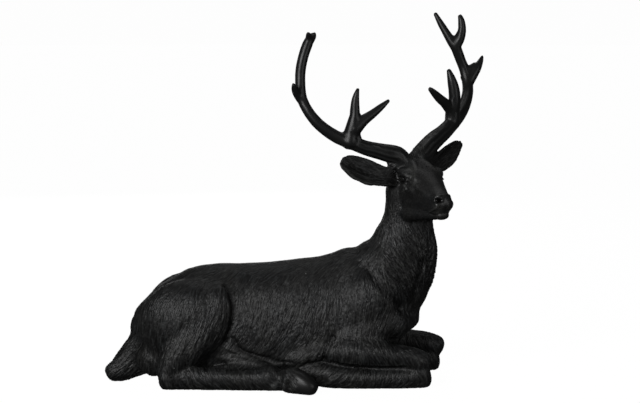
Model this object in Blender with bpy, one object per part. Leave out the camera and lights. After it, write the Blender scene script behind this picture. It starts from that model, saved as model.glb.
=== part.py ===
"""A stag lying down with its head turned to its right, cast in iron in one piece.

Run it with: blender --background --python part.py
+X is where the stag's body points, +Y is its left and +Z is up. The origin is the middle of the
underside. Every place and size below is in hundredths of LENGTH, so the figure keeps its pose and
proportions when LENGTH changes.
"""

import math

import bmesh
import bpy
import numpy as np
from mathutils import Matrix, Vector

# Driving dimension, in metres: from the tip of the tail to the foremost knee.
LENGTH = 0.640
SHARE = LENGTH / 100

# The mesh, in shares. Forms are fused coarsely first, then finely, and thinned to facets at the end.
TRUNK_VOXEL = 0.80
TRUNK_EASING = 8
FINE_VOXEL = 0.42
BODY_EASING = 3
FACETS = 9200
SIDES = 28
STEPS = 5

# Where the underside is cut flat, and how near to the cut a corner is drawn onto it.
REST_LEVEL = 0.45
SNAP = 0.22

# The head: where its crown stands, and how it is turned and nodded, in degrees.
CROWN = (41.2, -0.4, 66.4)
HEAD_TURN = -66.0
HEAD_NOD = 0.0

# Stations of each form: x, y, z of its middle, half width, height above and depth below the middle.
TORSO = (
    (-39.4, 0, 13.0, 5.8, 6.8, 12.5),
    (-36.8, 0, 14.0, 9.0, 10.3, 13.8),
    (-32.6, 0, 14.5, 11.2, 14.9, 14.8),
    (-26.0, 0, 14.5, 12.2, 19.1, 16.0),
    (-18.0, 0, 14.5, 12.2, 20.7, 16.0),
    (-10.0, 0, 14.5, 12.2, 20.8, 16.0),
    (0.0, 0, 15.0, 12.8, 20.8, 16.4),
    (8.0, 0, 15.5, 13.2, 21.2, 16.8),
    (16.0, 0, 16.0, 12.8, 21.6, 16.6),
    (22.0, 0, 17.0, 12.2, 22.0, 14.5),
    (28.0, 0, 18.4, 11.6, 21.9, 9.0),
    (33.5, 0, 19.2, 10.8, 14.0, 6.8),
    (38.0, 0, 19.8, 8.8, 10.0, 5.4),
    (41.2, 0, 20.6, 5.0, 6.0, 4.0),
)
# Up the neck, above is the nape and below is the throat.
NECK = (
    (27.0, 0, 20.0, 9.8, 12.0, 13.0),
    (33.0, 0, 32.0, 9.8, 12.1, 14.1),
    (36.2, 0, 36.6, 8.9, 9.9, 12.8),
    (38.0, 0, 40.2, 8.2, 9.6, 10.8),
    (38.9, 0, 44.2, 7.3, 9.0, 8.9),
    (39.3, 0, 47.4, 6.6, 7.7, 7.7),
    (39.5, -0.2, 50.4, 6.1, 7.1, 7.1),
    (39.6, -0.6, 54.0, 5.8, 6.8, 6.5),
    (39.7, -1.0, 58.0, 5.4, 6.9, 6.0),
    (39.8, -1.2, 62.0, 4.8, 5.2, 5.0),
)
TAIL = (
    (-48.8, -3.4, 3.0, 2.9, 2.4, 3.4),
    (-46.0, -2.4, 4.7, 3.5, 3.0, 5.2),
    (-42.8, -1.4, 8.0, 4.2, 3.7, 8.0),
    (-38.5, -0.6, 13.0, 5.6, 4.4, 10.6),
)
# Legs are given for the right side and run forward. Half width is across the leg.
SHANK = (
    (-31.6, -13.6, 4.2, 3.4, 3.2, 3.4),
    (-28.8, -13.0, 8.6, 4.4, 4.8, 5.0),
    (-24.2, -11.8, 13.6, 5.0, 6.6, 6.2),
    (-19.0, -10.2, 18.6, 5.2, 8.0, 6.6),
)
HIND_CANNON = (
    (-31.5, -14.0, 3.6, 3.3, 3.8, 3.7),
    (-27.0, -14.1, 3.6, 3.0, 3.6, 3.6),
    (-18.0, -14.6, 3.5, 2.8, 3.1, 3.6),
    (-9.0, -15.0, 3.4, 2.7, 2.9, 3.6),
    (-4.0, -15.2, 3.5, 2.9, 3.1, 3.6),
    (-1.2, -15.4, 3.8, 3.6, 4.1, 3.8),
    (2.2, -16.0, 3.6, 2.6, 2.8, 3.4),
    (4.6, -17.2, 4.0, 2.8, 3.2, 3.7),
)
HIND_HOOF = (
    (4.8, -17.6, 4.3, 3.0, 3.3, 4.4),
    (7.4, -19.2, 3.8, 3.3, 3.3, 4.0),
    (9.8, -20.5, 2.8, 3.1, 2.7, 3.0),
    (11.4, -21.2, 2.0, 2.6, 2.0, 2.2),
)
UPPER_ARM = (
    (17.4, -9.8, 11.8, 3.4, 3.8, 3.8),
    (22.0, -9.4, 13.8, 4.6, 5.2, 4.8),
    (29.0, -8.4, 17.0, 5.0, 6.2, 4.6),
    (35.0, -6.2, 19.4, 4.6, 5.6, 4.6),
)
FOREARM = (
    (16.8, -11.2, 10.4, 3.2, 3.8, 3.2),
    (22.0, -12.0, 10.4, 4.2, 5.0, 3.6),
    (30.0, -12.2, 10.1, 4.1, 4.3, 3.7),
    (36.0, -12.1, 9.8, 3.6, 3.3, 3.5),
    (40.5, -12.0, 9.2, 3.3, 3.2, 3.6),
    (43.6, -12.0, 7.6, 3.3, 3.4, 3.8),
)
FORE_CANNON = (
    (5.6, -10.8, 3.8, 2.4, 2.5, 3.2),
    (9.5, -11.6, 4.6, 2.5, 2.8, 3.6),
    (13.6, -12.2, 4.6, 2.7, 3.0, 4.0),
    (17.6, -12.6, 4.1, 2.9, 3.2, 3.9),
    (24.0, -12.7, 3.4, 2.8, 2.9, 3.6),
    (31.0, -12.5, 3.3, 2.8, 2.8, 3.6),
    (39.0, -12.2, 3.5, 3.0, 3.0, 3.7),
    (43.9, -12.0, 4.6, 3.1, 3.2, 4.3),
)
# How far the left foreleg's knee and cannon lie in front of the right one's.
LEFT_KNEE_AHEAD = 5.9
LEFT_CANNON_AHEAD = 4.2
KNEE_FROM = 10.0
KNEE_AT = 44.0

# Folds of skin beside the belly: one over the hind foot and one behind the elbow. x, y, z, radius.
BELLY_FOLD = (
    (-15.5, -10.6, 9.2, 1.2),
    (-9.5, -11.2, 8.0, 1.7),
    (-4.0, -12.0, 6.8, 1.4),
    (0.5, -12.6, 5.8, 0.9),
)
FOOT_FOLD = (
    (-19.0, -11.8, 5.6, 0.8),
    (-12.0, -12.4, 6.0, 1.4),
    (-5.0, -13.0, 5.6, 1.2),
    (-1.5, -13.2, 5.2, 0.7),
)
ELBOW_FOLD = (
    (1.6, -11.4, 7.6, 1.1),
    (6.6, -11.6, 8.6, 2.4),
    (11.0, -11.4, 9.9, 3.0),
    (14.2, -11.0, 10.6, 2.6),
)

# Rounded masses, drawn on the right side: middle, radii, then tilt and turn in degrees.
THIGH = ((-25.8, -7.8, 19.0), (14.0, 8.0, 12.6), -14, 0)
STIFLE = ((-17.0, -9.6, 21.0), (5.4, 5.0, 9.6), 8, 0)
SEAT = ((-35.4, -6.2, 7.8), (5.0, 5.2, 5.4), 0, 0)
SHOULDER = ((26.6, -7.4, 22.6), (9.6, 5.8, 13.2), 30, 0)
BREAST = ((34.8, -6.6, 18.6), (5.4, 4.8, 5.2), 0, 0)
DEWCLAW = ((0.2, -18.4, 2.0), (1.1, 0.8, 1.2), 0, 0)

# The head in its own frame: x from the crown to the nose, y to the stag's left, z up.
HEAD = (
    (-3.2, 0, -8.6, 4.8, 7.2, 8.2),
    (0.0, 0, -8.6, 6.0, 9.0, 9.0),
    (3.5, 0, -8.8, 6.3, 8.2, 8.8),
    (7.0, 0, -9.3, 5.9, 6.9, 8.0),
    (10.4, 0, -10.1, 4.7, 5.6, 6.6),
    (13.6, 0, -11.0, 3.8, 4.6, 5.0),
    (16.6, 0, -11.4, 3.3, 3.6, 3.8),
    (19.0, 0, -11.3, 3.0, 2.7, 2.3),
)
JAW = (
    (-1.6, -4.0, -14.4, 2.7),
    (2.0, -4.0, -15.3, 2.6),
    (7.0, -3.2, -15.3, 2.2),
    (12.0, -2.2, -15.1, 1.6),
    (15.6, -1.5, -15.0, 1.3),
)
# Masses of the head in its own frame, as above.
CHIN = ((17.2, 0, -15.0), (2.3, 2.3, 1.3), -4, 0)
NOSE_PAD = ((18.1, 0, -11.5), (2.1, 2.9, 2.3), 8, 0)
BROW = ((4.6, -4.8, -4.2), (3.4, 2.3, 1.9), 18, 8)
CHEEK = ((6.0, -4.0, -8.6), (4.6, 2.2, 3.0), 14, 0)
NOSTRIL_WING = ((18.0, -2.05, -11.0), (1.6, 1.1, 1.9), 0, 0)

# Carved lines on both sides, drawn on the right: the path, its width and how far it stands out.
CREASES = (
    (((26.4, -9.2, 35.4), (29.4, -9.6, 31.2), (33.6, -9.6, 26.4), (36.8, -8.8, 22.6)), 1.5, -0.6),
    (((29.0, -9.0, 34.8), (32.0, -9.4, 30.6), (36.0, -8.8, 26.0)), 2.0, 0.25),
    (((27.0, -12.2, 14.6), (30.2, -11.4, 14.6), (34.4, -8.6, 14.2), (38.0, -7.6, 14.8)), 0.9, -0.9),
    (((-13.2, -13.6, 28.6), (-11.4, -14.0, 24.4), (-11.9, -14.2, 19.6), (-14.2, -14.0, 13.6)), 1.2, -0.7),
)

# Antlers, branch by branch: x, y, z of the middle, then the radius, which BRANCH_GIRTH multiplies.
BRANCH_GIRTH = 1.09
RIGHT_ANTLER = (
    (
        (38.2, -2.2, 64.8, 2.60),
        (36.6, -2.6, 67.1, 2.54),
        (34.2, -3.2, 68.0, 2.44),
        (30.8, -3.8, 68.8, 2.16),
        (26.7, -4.6, 69.9, 1.95),
        (22.6, -5.2, 71.5, 1.84),
        (19.1, -5.7, 72.8, 1.74),
        (15.9, -6.0, 74.7, 1.63),
        (12.7, -6.1, 77.3, 1.54),
        (10.0, -5.8, 80.7, 1.44),
        (8.2, -5.0, 84.4, 1.42),
        (7.7, -4.3, 88.5, 1.40),
        (7.8, -3.6, 92.5, 1.42),
        (8.6, -3.0, 96.5, 1.42),
        (9.8, -2.5, 100.0, 1.42),
        (10.6, -2.2, 101.6, 1.20),
    ),
    ((22.2, -5.2, 71.9, 2.6), (22.6, -5.3, 74.4, 2.05), (23.2, -5.5, 77.0, 1.85), (23.7, -5.6, 79.5, 1.5)),
    ((20.0, -5.5, 72.8, 1.4), (21.4, -5.5, 74.2, 1.1), (22.4, -5.5, 76.2, 1.1)),
    ((23.6, -5.6, 78.9, 1.5), (23.6, -5.7, 81.6, 1.3), (23.8, -5.8, 84.5, 1.0), (24.4, -5.8, 87.0, 0.5)),
    (
        (23.4, -5.6, 75.4, 2.0),
        (26.0, -5.2, 77.9, 1.55),
        (28.7, -4.7, 79.8, 1.2),
        (31.1, -4.1, 81.7, 0.95),
        (33.4, -3.5, 83.6, 0.5),
    ),
    ((24.6, -5.4, 72.0, 1.2), (24.2, -5.5, 74.0, 1.0), (24.4, -5.5, 76.0, 1.2)),
    ((7.8, -5.0, 84.1, 1.2), (6.8, -6.0, 85.6, 1.1), (6.1, -7.2, 87.1, 0.9), (5.8, -8.3, 88.5, 0.5)),
    ((10.6, -2.2, 101.2, 1.2), (11.3, -0.4, 102.2, 1.0), (11.8, 2.4, 102.9, 0.5)),
    ((10.5, -2.2, 101.2, 1.2), (10.2, -3.5, 102.4, 0.9), (10.0, -4.9, 103.1, 0.5)),
)
LEFT_ANTLER = (
    (
        (41.6, 0.9, 65.4, 2.7),
        (43.9, 2.8, 67.8, 2.65),
        (47.4, 6.8, 71.1, 2.45),
        (50.7, 10.8, 73.4, 2.19),
        (53.5, 14.0, 75.9, 2.05),
        (56.0, 17.6, 78.5, 1.89),
        (57.9, 21.4, 81.5, 1.71),
        (59.0, 25.0, 84.7, 1.60),
        (59.0, 27.2, 88.0, 1.54),
        (58.1, 28.0, 91.7, 1.48),
        (57.0, 27.8, 94.4, 1.45),
        (55.7, 27.2, 97.7, 1.50),
        (55.1, 26.9, 99.3, 1.45),
    ),
    ((53.5, 14.0, 75.9, 2.2), (53.5, 13.6, 78.6, 2.1), (53.3, 13.0, 81.1, 1.9)),
    (
        (53.7, 13.0, 80.5, 1.9),
        (54.0, 12.6, 83.2, 1.7),
        (53.8, 12.4, 85.9, 1.6),
        (53.1, 12.2, 88.9, 1.3),
        (52.2, 12.2, 91.7, 0.7),
    ),
    (
        (52.8, 13.0, 80.2, 1.7),
        (50.9, 10.5, 82.2, 1.4),
        (49.1, 8.4, 83.7, 1.25),
        (47.5, 6.4, 85.3, 1.0),
        (46.1, 4.7, 86.6, 0.65),
    ),
    ((58.4, 27.8, 89.0, 1.4), (59.6, 28.2, 91.4, 1.1), (61.4, 28.6, 93.0, 0.8)),
    ((54.4, 27.1, 100.8, 0.9), (55.6, 27.0, 101.4, 0.9), (56.4, 26.8, 102.8, 0.8)),
    (
        (59.2, 27.0, 87.1, 1.5),
        (60.8, 27.8, 89.8, 1.4),
        (62.2, 28.6, 92.1, 1.25),
        (63.3, 29.3, 94.2, 0.8),
        (63.8, 29.5, 95.5, 0.45),
    ),
    (
        (55.1, 27.0, 98.8, 1.5),
        (53.7, 27.2, 100.8, 1.3),
        (52.1, 27.5, 103.4, 1.1),
        (50.5, 27.8, 106.1, 0.9),
        (49.1, 28.0, 108.6, 0.6),
    ),
    (
        (55.4, 27.0, 98.8, 1.5),
        (56.6, 26.8, 101.2, 1.4),
        (57.2, 26.6, 103.8, 1.2),
        (57.0, 26.6, 106.4, 1.0),
        (56.6, 26.6, 107.9, 0.7),
    ),
)

# The ears, from root to tip: x, y, z of the middle, half width, half thickness.
RIGHT_EAR = (
    (37.0, -2.8, 60.6, 2.5, 1.9),
    (33.8, -4.4, 61.1, 2.8, 1.3),
    (30.4, -5.8, 61.9, 3.35, 0.9),
    (26.6, -7.2, 63.2, 3.8, 0.75),
    (23.0, -8.4, 64.8, 3.4, 0.65),
    (20.6, -9.2, 65.9, 2.4, 0.55),
    (19.6, -9.6, 66.5, 1.4, 0.45),
)
LEFT_EAR = (
    (44.6, 2.6, 62.6, 2.6, 1.9),
    (47.4, 4.8, 64.1, 2.9, 1.3),
    (49.8, 7.2, 65.3, 3.3, 0.9),
    (52.2, 10.0, 66.8, 3.3, 0.75),
    (54.3, 12.4, 68.5, 2.5, 0.65),
    (55.7, 14.0, 69.4, 1.4, 0.55),
    (56.3, 14.6, 70.1, 0.8, 0.45),
)
# The way that each ear's hollow faces, and how deep it is.
RIGHT_EAR_FACES = (0.45, -0.85, 0.35)
LEFT_EAR_FACES = (0.8, -0.55, 0.1)
# The swelling that joins the right ear's root to the antler above it.
EAR_ROOT = ((38.0, -2.6, 63.4, 2.2), (35.6, -3.4, 64.6, 1.7), (34.0, -3.9, 65.2, 1.0))
EAR_CUP = 1.4


def clear_scene():
    for thing in list(bpy.data.objects):
        bpy.data.objects.remove(thing)


def smooth_run(stations, steps=STEPS):
    """Points along a Catmull-Rom curve through the stations, in all their columns."""
    given = np.array(stations, float)
    padded = np.vstack([2 * given[0] - given[1], given, 2 * given[-1] - given[-2]])
    run = []
    for i in range(1, len(padded) - 2):
        before, start, end, after = padded[i - 1 : i + 3]
        for t in np.linspace(0, 1, steps, endpoint=False):
            run.append(
                0.5
                * (
                    2 * start
                    + (end - before) * t
                    + (2 * before - 5 * start + 4 * end - after) * t**2
                    + (3 * start - before - 3 * end + after) * t**3
                )
            )
    run.append(given[-1])
    return np.array(run)


def unit(vector):
    return vector / max(np.linalg.norm(vector), 1e-9)


def tangents(points):
    ahead = np.vstack([points[1:], points[-1:]])
    behind = np.vstack([points[:1], points[:-1]])
    return np.array([unit(v) for v in ahead - behind])


def skin_rings(rings):
    """A closed mesh over a list of rings, with a point at each end."""
    count = len(rings[0])
    points = [rings[0].mean(axis=0)]
    for ring in rings:
        points.extend(ring)
    points.append(rings[-1].mean(axis=0))
    last = len(points) - 1
    faces = []
    for i in range(count):
        j = (i + 1) % count
        faces.append((0, 1 + j, 1 + i))
        faces.append((last, last - count + i, last - count + j))
    for r in range(len(rings) - 1):
        low, high = 1 + r * count, 1 + (r + 1) * count
        for i in range(count):
            j = (i + 1) % count
            faces.append((low + i, low + j, high + j, high + i))
    return np.array(points), faces


def loft(stations, side=(0, 1, 0), sides=SIDES, ends=0.55, square=2.0):
    """A rounded tube through the stations. side is the direction of its half width."""
    run = smooth_run(stations)
    middles, sizes = run[:, :3], run[:, 3:]
    along = tangents(middles)
    angles = np.linspace(0, 2 * math.pi, sides, endpoint=False)
    power = 2.0 / square
    across = np.sign(np.cos(angles)) * np.abs(np.cos(angles)) ** power
    upward = np.sign(np.sin(angles)) * np.abs(np.sin(angles)) ** power
    rings = []

    def add_ring(middle, tangent, size, scale):
        lateral = unit(np.array(side, float) - np.dot(side, tangent) * tangent)
        rise = np.cross(tangent, lateral)
        heights = np.where(upward > 0, size[1], size[2]) * upward
        rings.append(middle + scale * (np.outer(across * size[0], lateral) + np.outer(heights, rise)))

    caps = np.radians((67.5, 45.0, 22.5))
    reach = ends * sizes[0].mean()
    for cap in caps:
        add_ring(middles[0] - along[0] * reach * math.sin(cap), along[0], sizes[0], math.cos(cap))
    for middle, tangent, size in zip(middles, along, sizes):
        add_ring(middle, tangent, size, 1.0)
    reach = ends * sizes[-1].mean()
    for cap in caps[::-1]:
        add_ring(middles[-1] + along[-1] * reach * math.sin(cap), along[-1], sizes[-1], math.cos(cap))
    return skin_rings(rings)


def round_tube(stations, sides=14):
    """A round tube through stations of x, y, z and radius."""
    sized = [(*s[:3], s[3], s[3], s[3]) for s in stations]
    return loft(sized, side=(0.3, 0.9, 0.1), sides=sides, ends=0.9)


def ball(middle, radii, tilt, turn):
    """An ellipsoid, tilted about the Y axis and turned about the Z axis, in degrees."""
    shape = bmesh.new()
    bmesh.ops.create_uvsphere(shape, u_segments=28, v_segments=18, radius=1.0)
    place = Matrix.Rotation(math.radians(turn), 4, "Z") @ Matrix.Rotation(math.radians(tilt), 4, "Y")
    points = np.array([place @ Vector(np.array(v.co) * radii) for v in shape.verts]) + middle
    faces = [tuple(v.index for v in f.verts) for f in shape.faces]
    shape.free()
    return points, faces


def mirrored(shell):
    """The same shell on the stag's left."""
    points, faces = shell
    return points * (1, -1, 1), [face[::-1] for face in faces]


def head_frame():
    """The head's frame in the figure, in shares."""
    turn = Matrix.Rotation(math.radians(HEAD_TURN), 4, "Z")
    nod = Matrix.Rotation(math.radians(HEAD_NOD), 4, "Y")
    return Matrix.Translation(CROWN) @ turn @ nod


def placed(shell, frame):
    points, faces = shell
    matrix = np.array(frame)
    return points @ matrix[:3, :3].T + matrix[:3, 3], faces


def ear(stations, facing):
    """A cupped leaf whose hollow faces the given way."""
    run = smooth_run(stations, 6)
    middles = run[:, :3]
    along = tangents(middles)
    angles = np.linspace(0, 2 * math.pi, 24, endpoint=False)
    rings = []
    for middle, tangent, (width, thick) in zip(middles, along, run[:, 3:]):
        out = unit(np.array(facing, float) - np.dot(facing, tangent) * tangent)
        across = np.cross(out, tangent)
        spread = np.cos(angles)
        round_rim = np.sign(np.sin(angles)) * np.abs(np.sin(angles)) ** 0.5
        depth = thick * round_rim + EAR_CUP * (spread**2 - 0.5) * width / 3.5
        rings.append(middle + np.outer(spread * width, across) + np.outer(depth, out))
    return skin_rings(rings)


def shells_to_mesh(name, shells):
    points, faces = [], []
    for shell_points, shell_faces in shells:
        start = len(points)
        points.extend(shell_points)
        faces.extend(tuple(start + i for i in face) for face in shell_faces)
    mesh = bpy.data.meshes.new(name)
    mesh.from_pydata([tuple(p) for p in points], [], faces)
    work = bmesh.new()
    work.from_mesh(mesh)
    bmesh.ops.recalc_face_normals(work, faces=work.faces)
    work.to_mesh(mesh)
    work.free()
    return mesh


def evaluated(mesh, add_modifiers):
    """The mesh after the modifiers that add_modifiers puts on an object holding it."""
    holder = bpy.data.objects.new("holder", mesh)
    bpy.context.scene.collection.objects.link(holder)
    add_modifiers(holder.modifiers)
    graph = bpy.context.evaluated_depsgraph_get()
    made = bpy.data.meshes.new_from_object(holder.evaluated_get(graph))
    bpy.data.objects.remove(holder)
    return made


def fused(mesh, voxel, smoothing):
    """The union of a mesh's shells as one skin, with its creases eased."""

    def add(modifiers):
        remesh = modifiers.new("fuse", "REMESH")
        remesh.mode = "VOXEL"
        remesh.voxel_size = voxel
        if smoothing:
            ease = modifiers.new("ease", "SMOOTH")
            ease.factor = 0.5
            ease.iterations = smoothing

    return evaluated(mesh, add)


def mesh_shell(mesh):
    points = np.empty(len(mesh.vertices) * 3)
    mesh.vertices.foreach_get("co", points)
    return points.reshape(-1, 3), [tuple(p.vertices) for p in mesh.polygons]


def stretched(run, ahead):
    """The same stations with the knee's end moved forward."""
    return [(x + ahead * max(0.0, (x - KNEE_FROM) / (KNEE_AT - KNEE_FROM)), *rest) for x, *rest in run]


def forearm(ahead=0.0):
    return loft(stretched(FOREARM, ahead), sides=20)


def fore_cannon(ahead=0.0):
    return loft(stretched(FORE_CANNON, ahead), sides=20)


def trunk():
    """The masses that flow into each other: torso, neck, tail, thighs, shoulders and forearms."""
    pair = [ball(*mass) for mass in (THIGH, STIFLE, SEAT, SHOULDER, BREAST)]
    pair += [loft(UPPER_ARM), loft(SHANK, sides=20), round_tube(ELBOW_FOLD)]
    shells = [loft(TORSO, ends=0.35), loft(NECK), loft(TAIL)]
    shells += pair + [mirrored(s) for s in pair]
    shells += [forearm(), mirrored(forearm(LEFT_KNEE_AHEAD))]
    return fused(shells_to_mesh("trunk", shells), TRUNK_VOXEL, TRUNK_EASING)


def hind_leg():
    """The cannon with its hoof and dewclaw, and the folds of skin beside the belly."""
    folds = [round_tube(run) for run in (BELLY_FOLD, FOOT_FOLD)]
    return [loft(HIND_CANNON, sides=20), loft(HIND_HOOF, sides=20, square=2.6), ball(*DEWCLAW)] + folds


def head():
    pair = [ball(*mass) for mass in (BROW, CHEEK, NOSTRIL_WING)] + [round_tube(JAW)]
    parts = [loft(HEAD, sides=24, ends=0.5, square=2.3), ball(*CHIN), ball(*NOSE_PAD)]
    parts += pair + [mirrored(p) for p in pair]
    return [placed(p, head_frame()) for p in parts]


def antlers():
    branches = RIGHT_ANTLER + LEFT_ANTLER
    return [round_tube([(x, y, z, r * BRANCH_GIRTH) for x, y, z, r in branch]) for branch in branches]


def figure():
    """The whole figure as one fused skin, in shares."""
    shells = [mesh_shell(trunk())]
    shells += hind_leg() + [fore_cannon()]
    shells += [mirrored(s) for s in hind_leg() + [fore_cannon(LEFT_CANNON_AHEAD)]]
    shells += head()
    body = fused(shells_to_mesh("body", shells), FINE_VOXEL, BODY_EASING)
    shells = [mesh_shell(body), round_tube(EAR_ROOT)] + antlers()
    shells += [ear(RIGHT_EAR, RIGHT_EAR_FACES), ear(LEFT_EAR, LEFT_EAR_FACES)]
    return fused(shells_to_mesh("figure", shells), FINE_VOXEL, 1)


def carve_creases(mesh):
    """Press the carved creases into the skin and raise the ridges beside them."""
    points, _ = mesh_shell(mesh)
    normals = np.empty(len(points) * 3)
    mesh.vertex_normals.foreach_get("vector", normals)
    normals = normals.reshape(-1, 3)
    push = np.zeros(len(points))
    for path, width, depth in CREASES:
        for side in (1, -1):
            line = smooth_run(np.array(path) * (1, side, 1), 6)
            gap = np.linalg.norm(points[:, None, :] - line[None, :, :], axis=2).min(axis=1)
            push += depth * np.exp(-((gap / width) ** 2))
    moved = points + normals * push[:, None]
    mesh.vertices.foreach_set("co", moved.ravel())
    mesh.update()


def thinned(mesh, facets):
    """The same skin with fewer facets, kept where it curves most."""
    triangles = sum(len(p.vertices) - 2 for p in mesh.polygons)

    def add(modifiers):
        thin = modifiers.new("thin", "DECIMATE")
        thin.ratio = facets / triangles
        thin.use_collapse_triangulate = True

    return evaluated(mesh, add)


def stood_flat(mesh):
    """Cut the underside flat, so that the figure rests on it, and close the cut."""
    work = bmesh.new()
    work.from_mesh(mesh)
    for vertex in work.verts:
        if abs(vertex.co.z - REST_LEVEL) < SNAP:
            vertex.co.z = REST_LEVEL
    everything = work.verts[:] + work.edges[:] + work.faces[:]
    bmesh.ops.bisect_plane(
        work, geom=everything, dist=1e-5, plane_co=(0, 0, REST_LEVEL), plane_no=(0, 0, 1), clear_inner=True
    )
    rim = [edge for edge in work.edges if edge.is_boundary]
    bmesh.ops.holes_fill(work, edges=rim, sides=0)
    bmesh.ops.triangulate(work, faces=[face for face in work.faces if len(face.verts) > 3])
    bmesh.ops.dissolve_degenerate(work, dist=0.004, edges=work.edges)
    bmesh.ops.triangulate(work, faces=[face for face in work.faces if len(face.verts) > 3])
    bmesh.ops.recalc_face_normals(work, faces=work.faces)
    work.to_mesh(mesh)
    work.free()


def to_metres(mesh):
    """Put the origin at the middle of the underside and give the figure its real size."""
    points, _ = mesh_shell(mesh)
    low, high = points.min(axis=0), points.max(axis=0)
    origin = np.array(((low[0] + high[0]) / 2, (low[1] + high[1]) / 2, low[2]))
    mesh.vertices.foreach_set("co", ((points - origin) * SHARE).ravel())
    mesh.update()


def iron():
    material = bpy.data.materials.new("black_iron")
    material.use_nodes = True
    surface = material.node_tree.nodes["Principled BSDF"]
    surface.inputs["Base Color"].default_value = (0.018, 0.019, 0.019, 1)
    surface.inputs["Metallic"].default_value = 0.35
    surface.inputs["Roughness"].default_value = 0.42
    return material


def main():
    clear_scene()
    mesh = figure()
    carve_creases(mesh)
    mesh = thinned(mesh, FACETS)
    stood_flat(mesh)
    to_metres(mesh)
    mesh.name = "stag"
    mesh.materials.clear()
    mesh.materials.append(iron())
    stag = bpy.data.objects.new("stag", mesh)
    bpy.context.scene.collection.objects.link(stag)


main()
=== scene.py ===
"""A stag lying down with its head turned to its right, cast in black iron, on a pale studio floor.

+X is where the stag's body points, +Y is its left and +Z is up. Places and sizes in the tables are in
shares, which are hundredths of the length from the tip of the tail to the foremost knee.
"""

import math

import bmesh
import bpy
import numpy as np
from mathutils import Matrix, Vector, kdtree, noise


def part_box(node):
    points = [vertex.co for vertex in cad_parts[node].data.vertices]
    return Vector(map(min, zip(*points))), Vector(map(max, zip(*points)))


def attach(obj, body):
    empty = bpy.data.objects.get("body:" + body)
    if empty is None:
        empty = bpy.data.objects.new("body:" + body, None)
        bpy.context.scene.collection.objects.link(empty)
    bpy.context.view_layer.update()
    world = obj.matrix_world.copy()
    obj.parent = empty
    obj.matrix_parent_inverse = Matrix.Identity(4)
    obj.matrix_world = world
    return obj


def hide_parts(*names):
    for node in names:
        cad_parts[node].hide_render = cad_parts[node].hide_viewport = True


bl_info = {
    "name": "Lying Iron Stag",
    "version": (1, 0, 0),
    "blender": (4, 5, 0),
    "location": "View3D > Sidebar > Iron Stag",
    "description": "Models a lying stag in cast iron, with its carved coat, and a studio to show it in",
    "category": "Object",
}

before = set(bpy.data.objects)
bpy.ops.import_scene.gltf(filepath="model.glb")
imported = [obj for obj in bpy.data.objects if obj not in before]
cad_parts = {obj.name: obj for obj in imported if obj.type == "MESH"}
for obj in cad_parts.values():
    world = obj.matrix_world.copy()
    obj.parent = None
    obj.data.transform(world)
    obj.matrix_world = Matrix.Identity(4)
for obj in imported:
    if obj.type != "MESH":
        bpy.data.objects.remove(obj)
SOLID_LOW, SOLID_HIGH = [Vector(corner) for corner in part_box("stag")]
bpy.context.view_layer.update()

# The figure's reach along its body, in shares, and where the middle of its underside is.
REACH = 114.61
FOOTING = (6.70, 3.17, 0.45)
SHARE = (SOLID_HIGH.x - SOLID_LOW.x) / REACH

# The grain, in shares, at which the trunk's masses and then the whole body are fused, and how many
# rounds of smoothing ease each skin.
TRUNK_VOXEL = 0.80
TRUNK_EASING = 8
BODY_VOXEL = 0.36
BODY_EASING = 4
FIGURE_EASING = 3
# Points around a loft, and steps between two of its stations.
SIDES = 28
STEPS = 5
# Where the underside is cut flat, and how far, in metres, the figure stays inside the solid's corners.
REST_LEVEL = 0.45
INSET = 0.0002

# How much painted shade darkens the grooves of carved lines, and how much a painted highlight pales their
# ridges.
GROOVE_SHADE = 5.0

# The coat: how far an anchor reaches, how far locks turn to either side and how large they are, how
# far apart the hairs' values are read, and the seeds of the fine and the broad strands.
COAT_REACH = 4.2
LOCK_TURN = 0.45
LOCK_SIZE = 5.0
HAIR_STEP = 0.5
FINE_SEED = 7
BROAD_SEED = 11

# The patches in which the finest strands are laid out, and how much the way they face counts.
PATCHES = 900
PATCH_SEED = 5
PATCH_FACING = 4.0
BLOCK = 20000

# The flutes around an antler's beam, and how deep they are.
FLUTES = 11
FLUTE_DEPTH = 0.15

# The head: where its crown stands, and how it is turned and nodded, in degrees.
CROWN = (41.2, -0.4, 66.4)
HEAD_TURN = -66.0
HEAD_NOD = 0.0

# Stations of each form: x, y, z of its middle, half width, height above and depth below the middle.
TORSO = (
    (-39.4, 0, 13.0, 5.8, 6.8, 12.5),
    (-36.8, 0, 14.0, 9.0, 10.3, 13.8),
    (-32.6, 0, 14.5, 11.2, 14.9, 14.8),
    (-26.0, 0, 14.5, 12.2, 19.1, 16.0),
    (-18.0, 0, 14.5, 12.2, 20.7, 16.0),
    (-10.0, 0, 14.5, 12.2, 20.8, 16.0),
    (0.0, 0, 15.0, 12.8, 20.8, 16.4),
    (8.0, 0, 15.5, 13.2, 21.2, 16.8),
    (16.0, 0, 16.0, 12.8, 21.6, 16.6),
    (22.0, 0, 17.0, 12.2, 22.0, 14.5),
    (28.0, 0, 18.4, 11.6, 21.9, 9.0),
    (33.5, 0, 19.2, 10.8, 14.0, 6.8),
    (38.0, 0, 19.8, 8.8, 10.0, 5.4),
    (41.2, 0, 20.6, 5.0, 6.0, 4.0),
)
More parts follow.
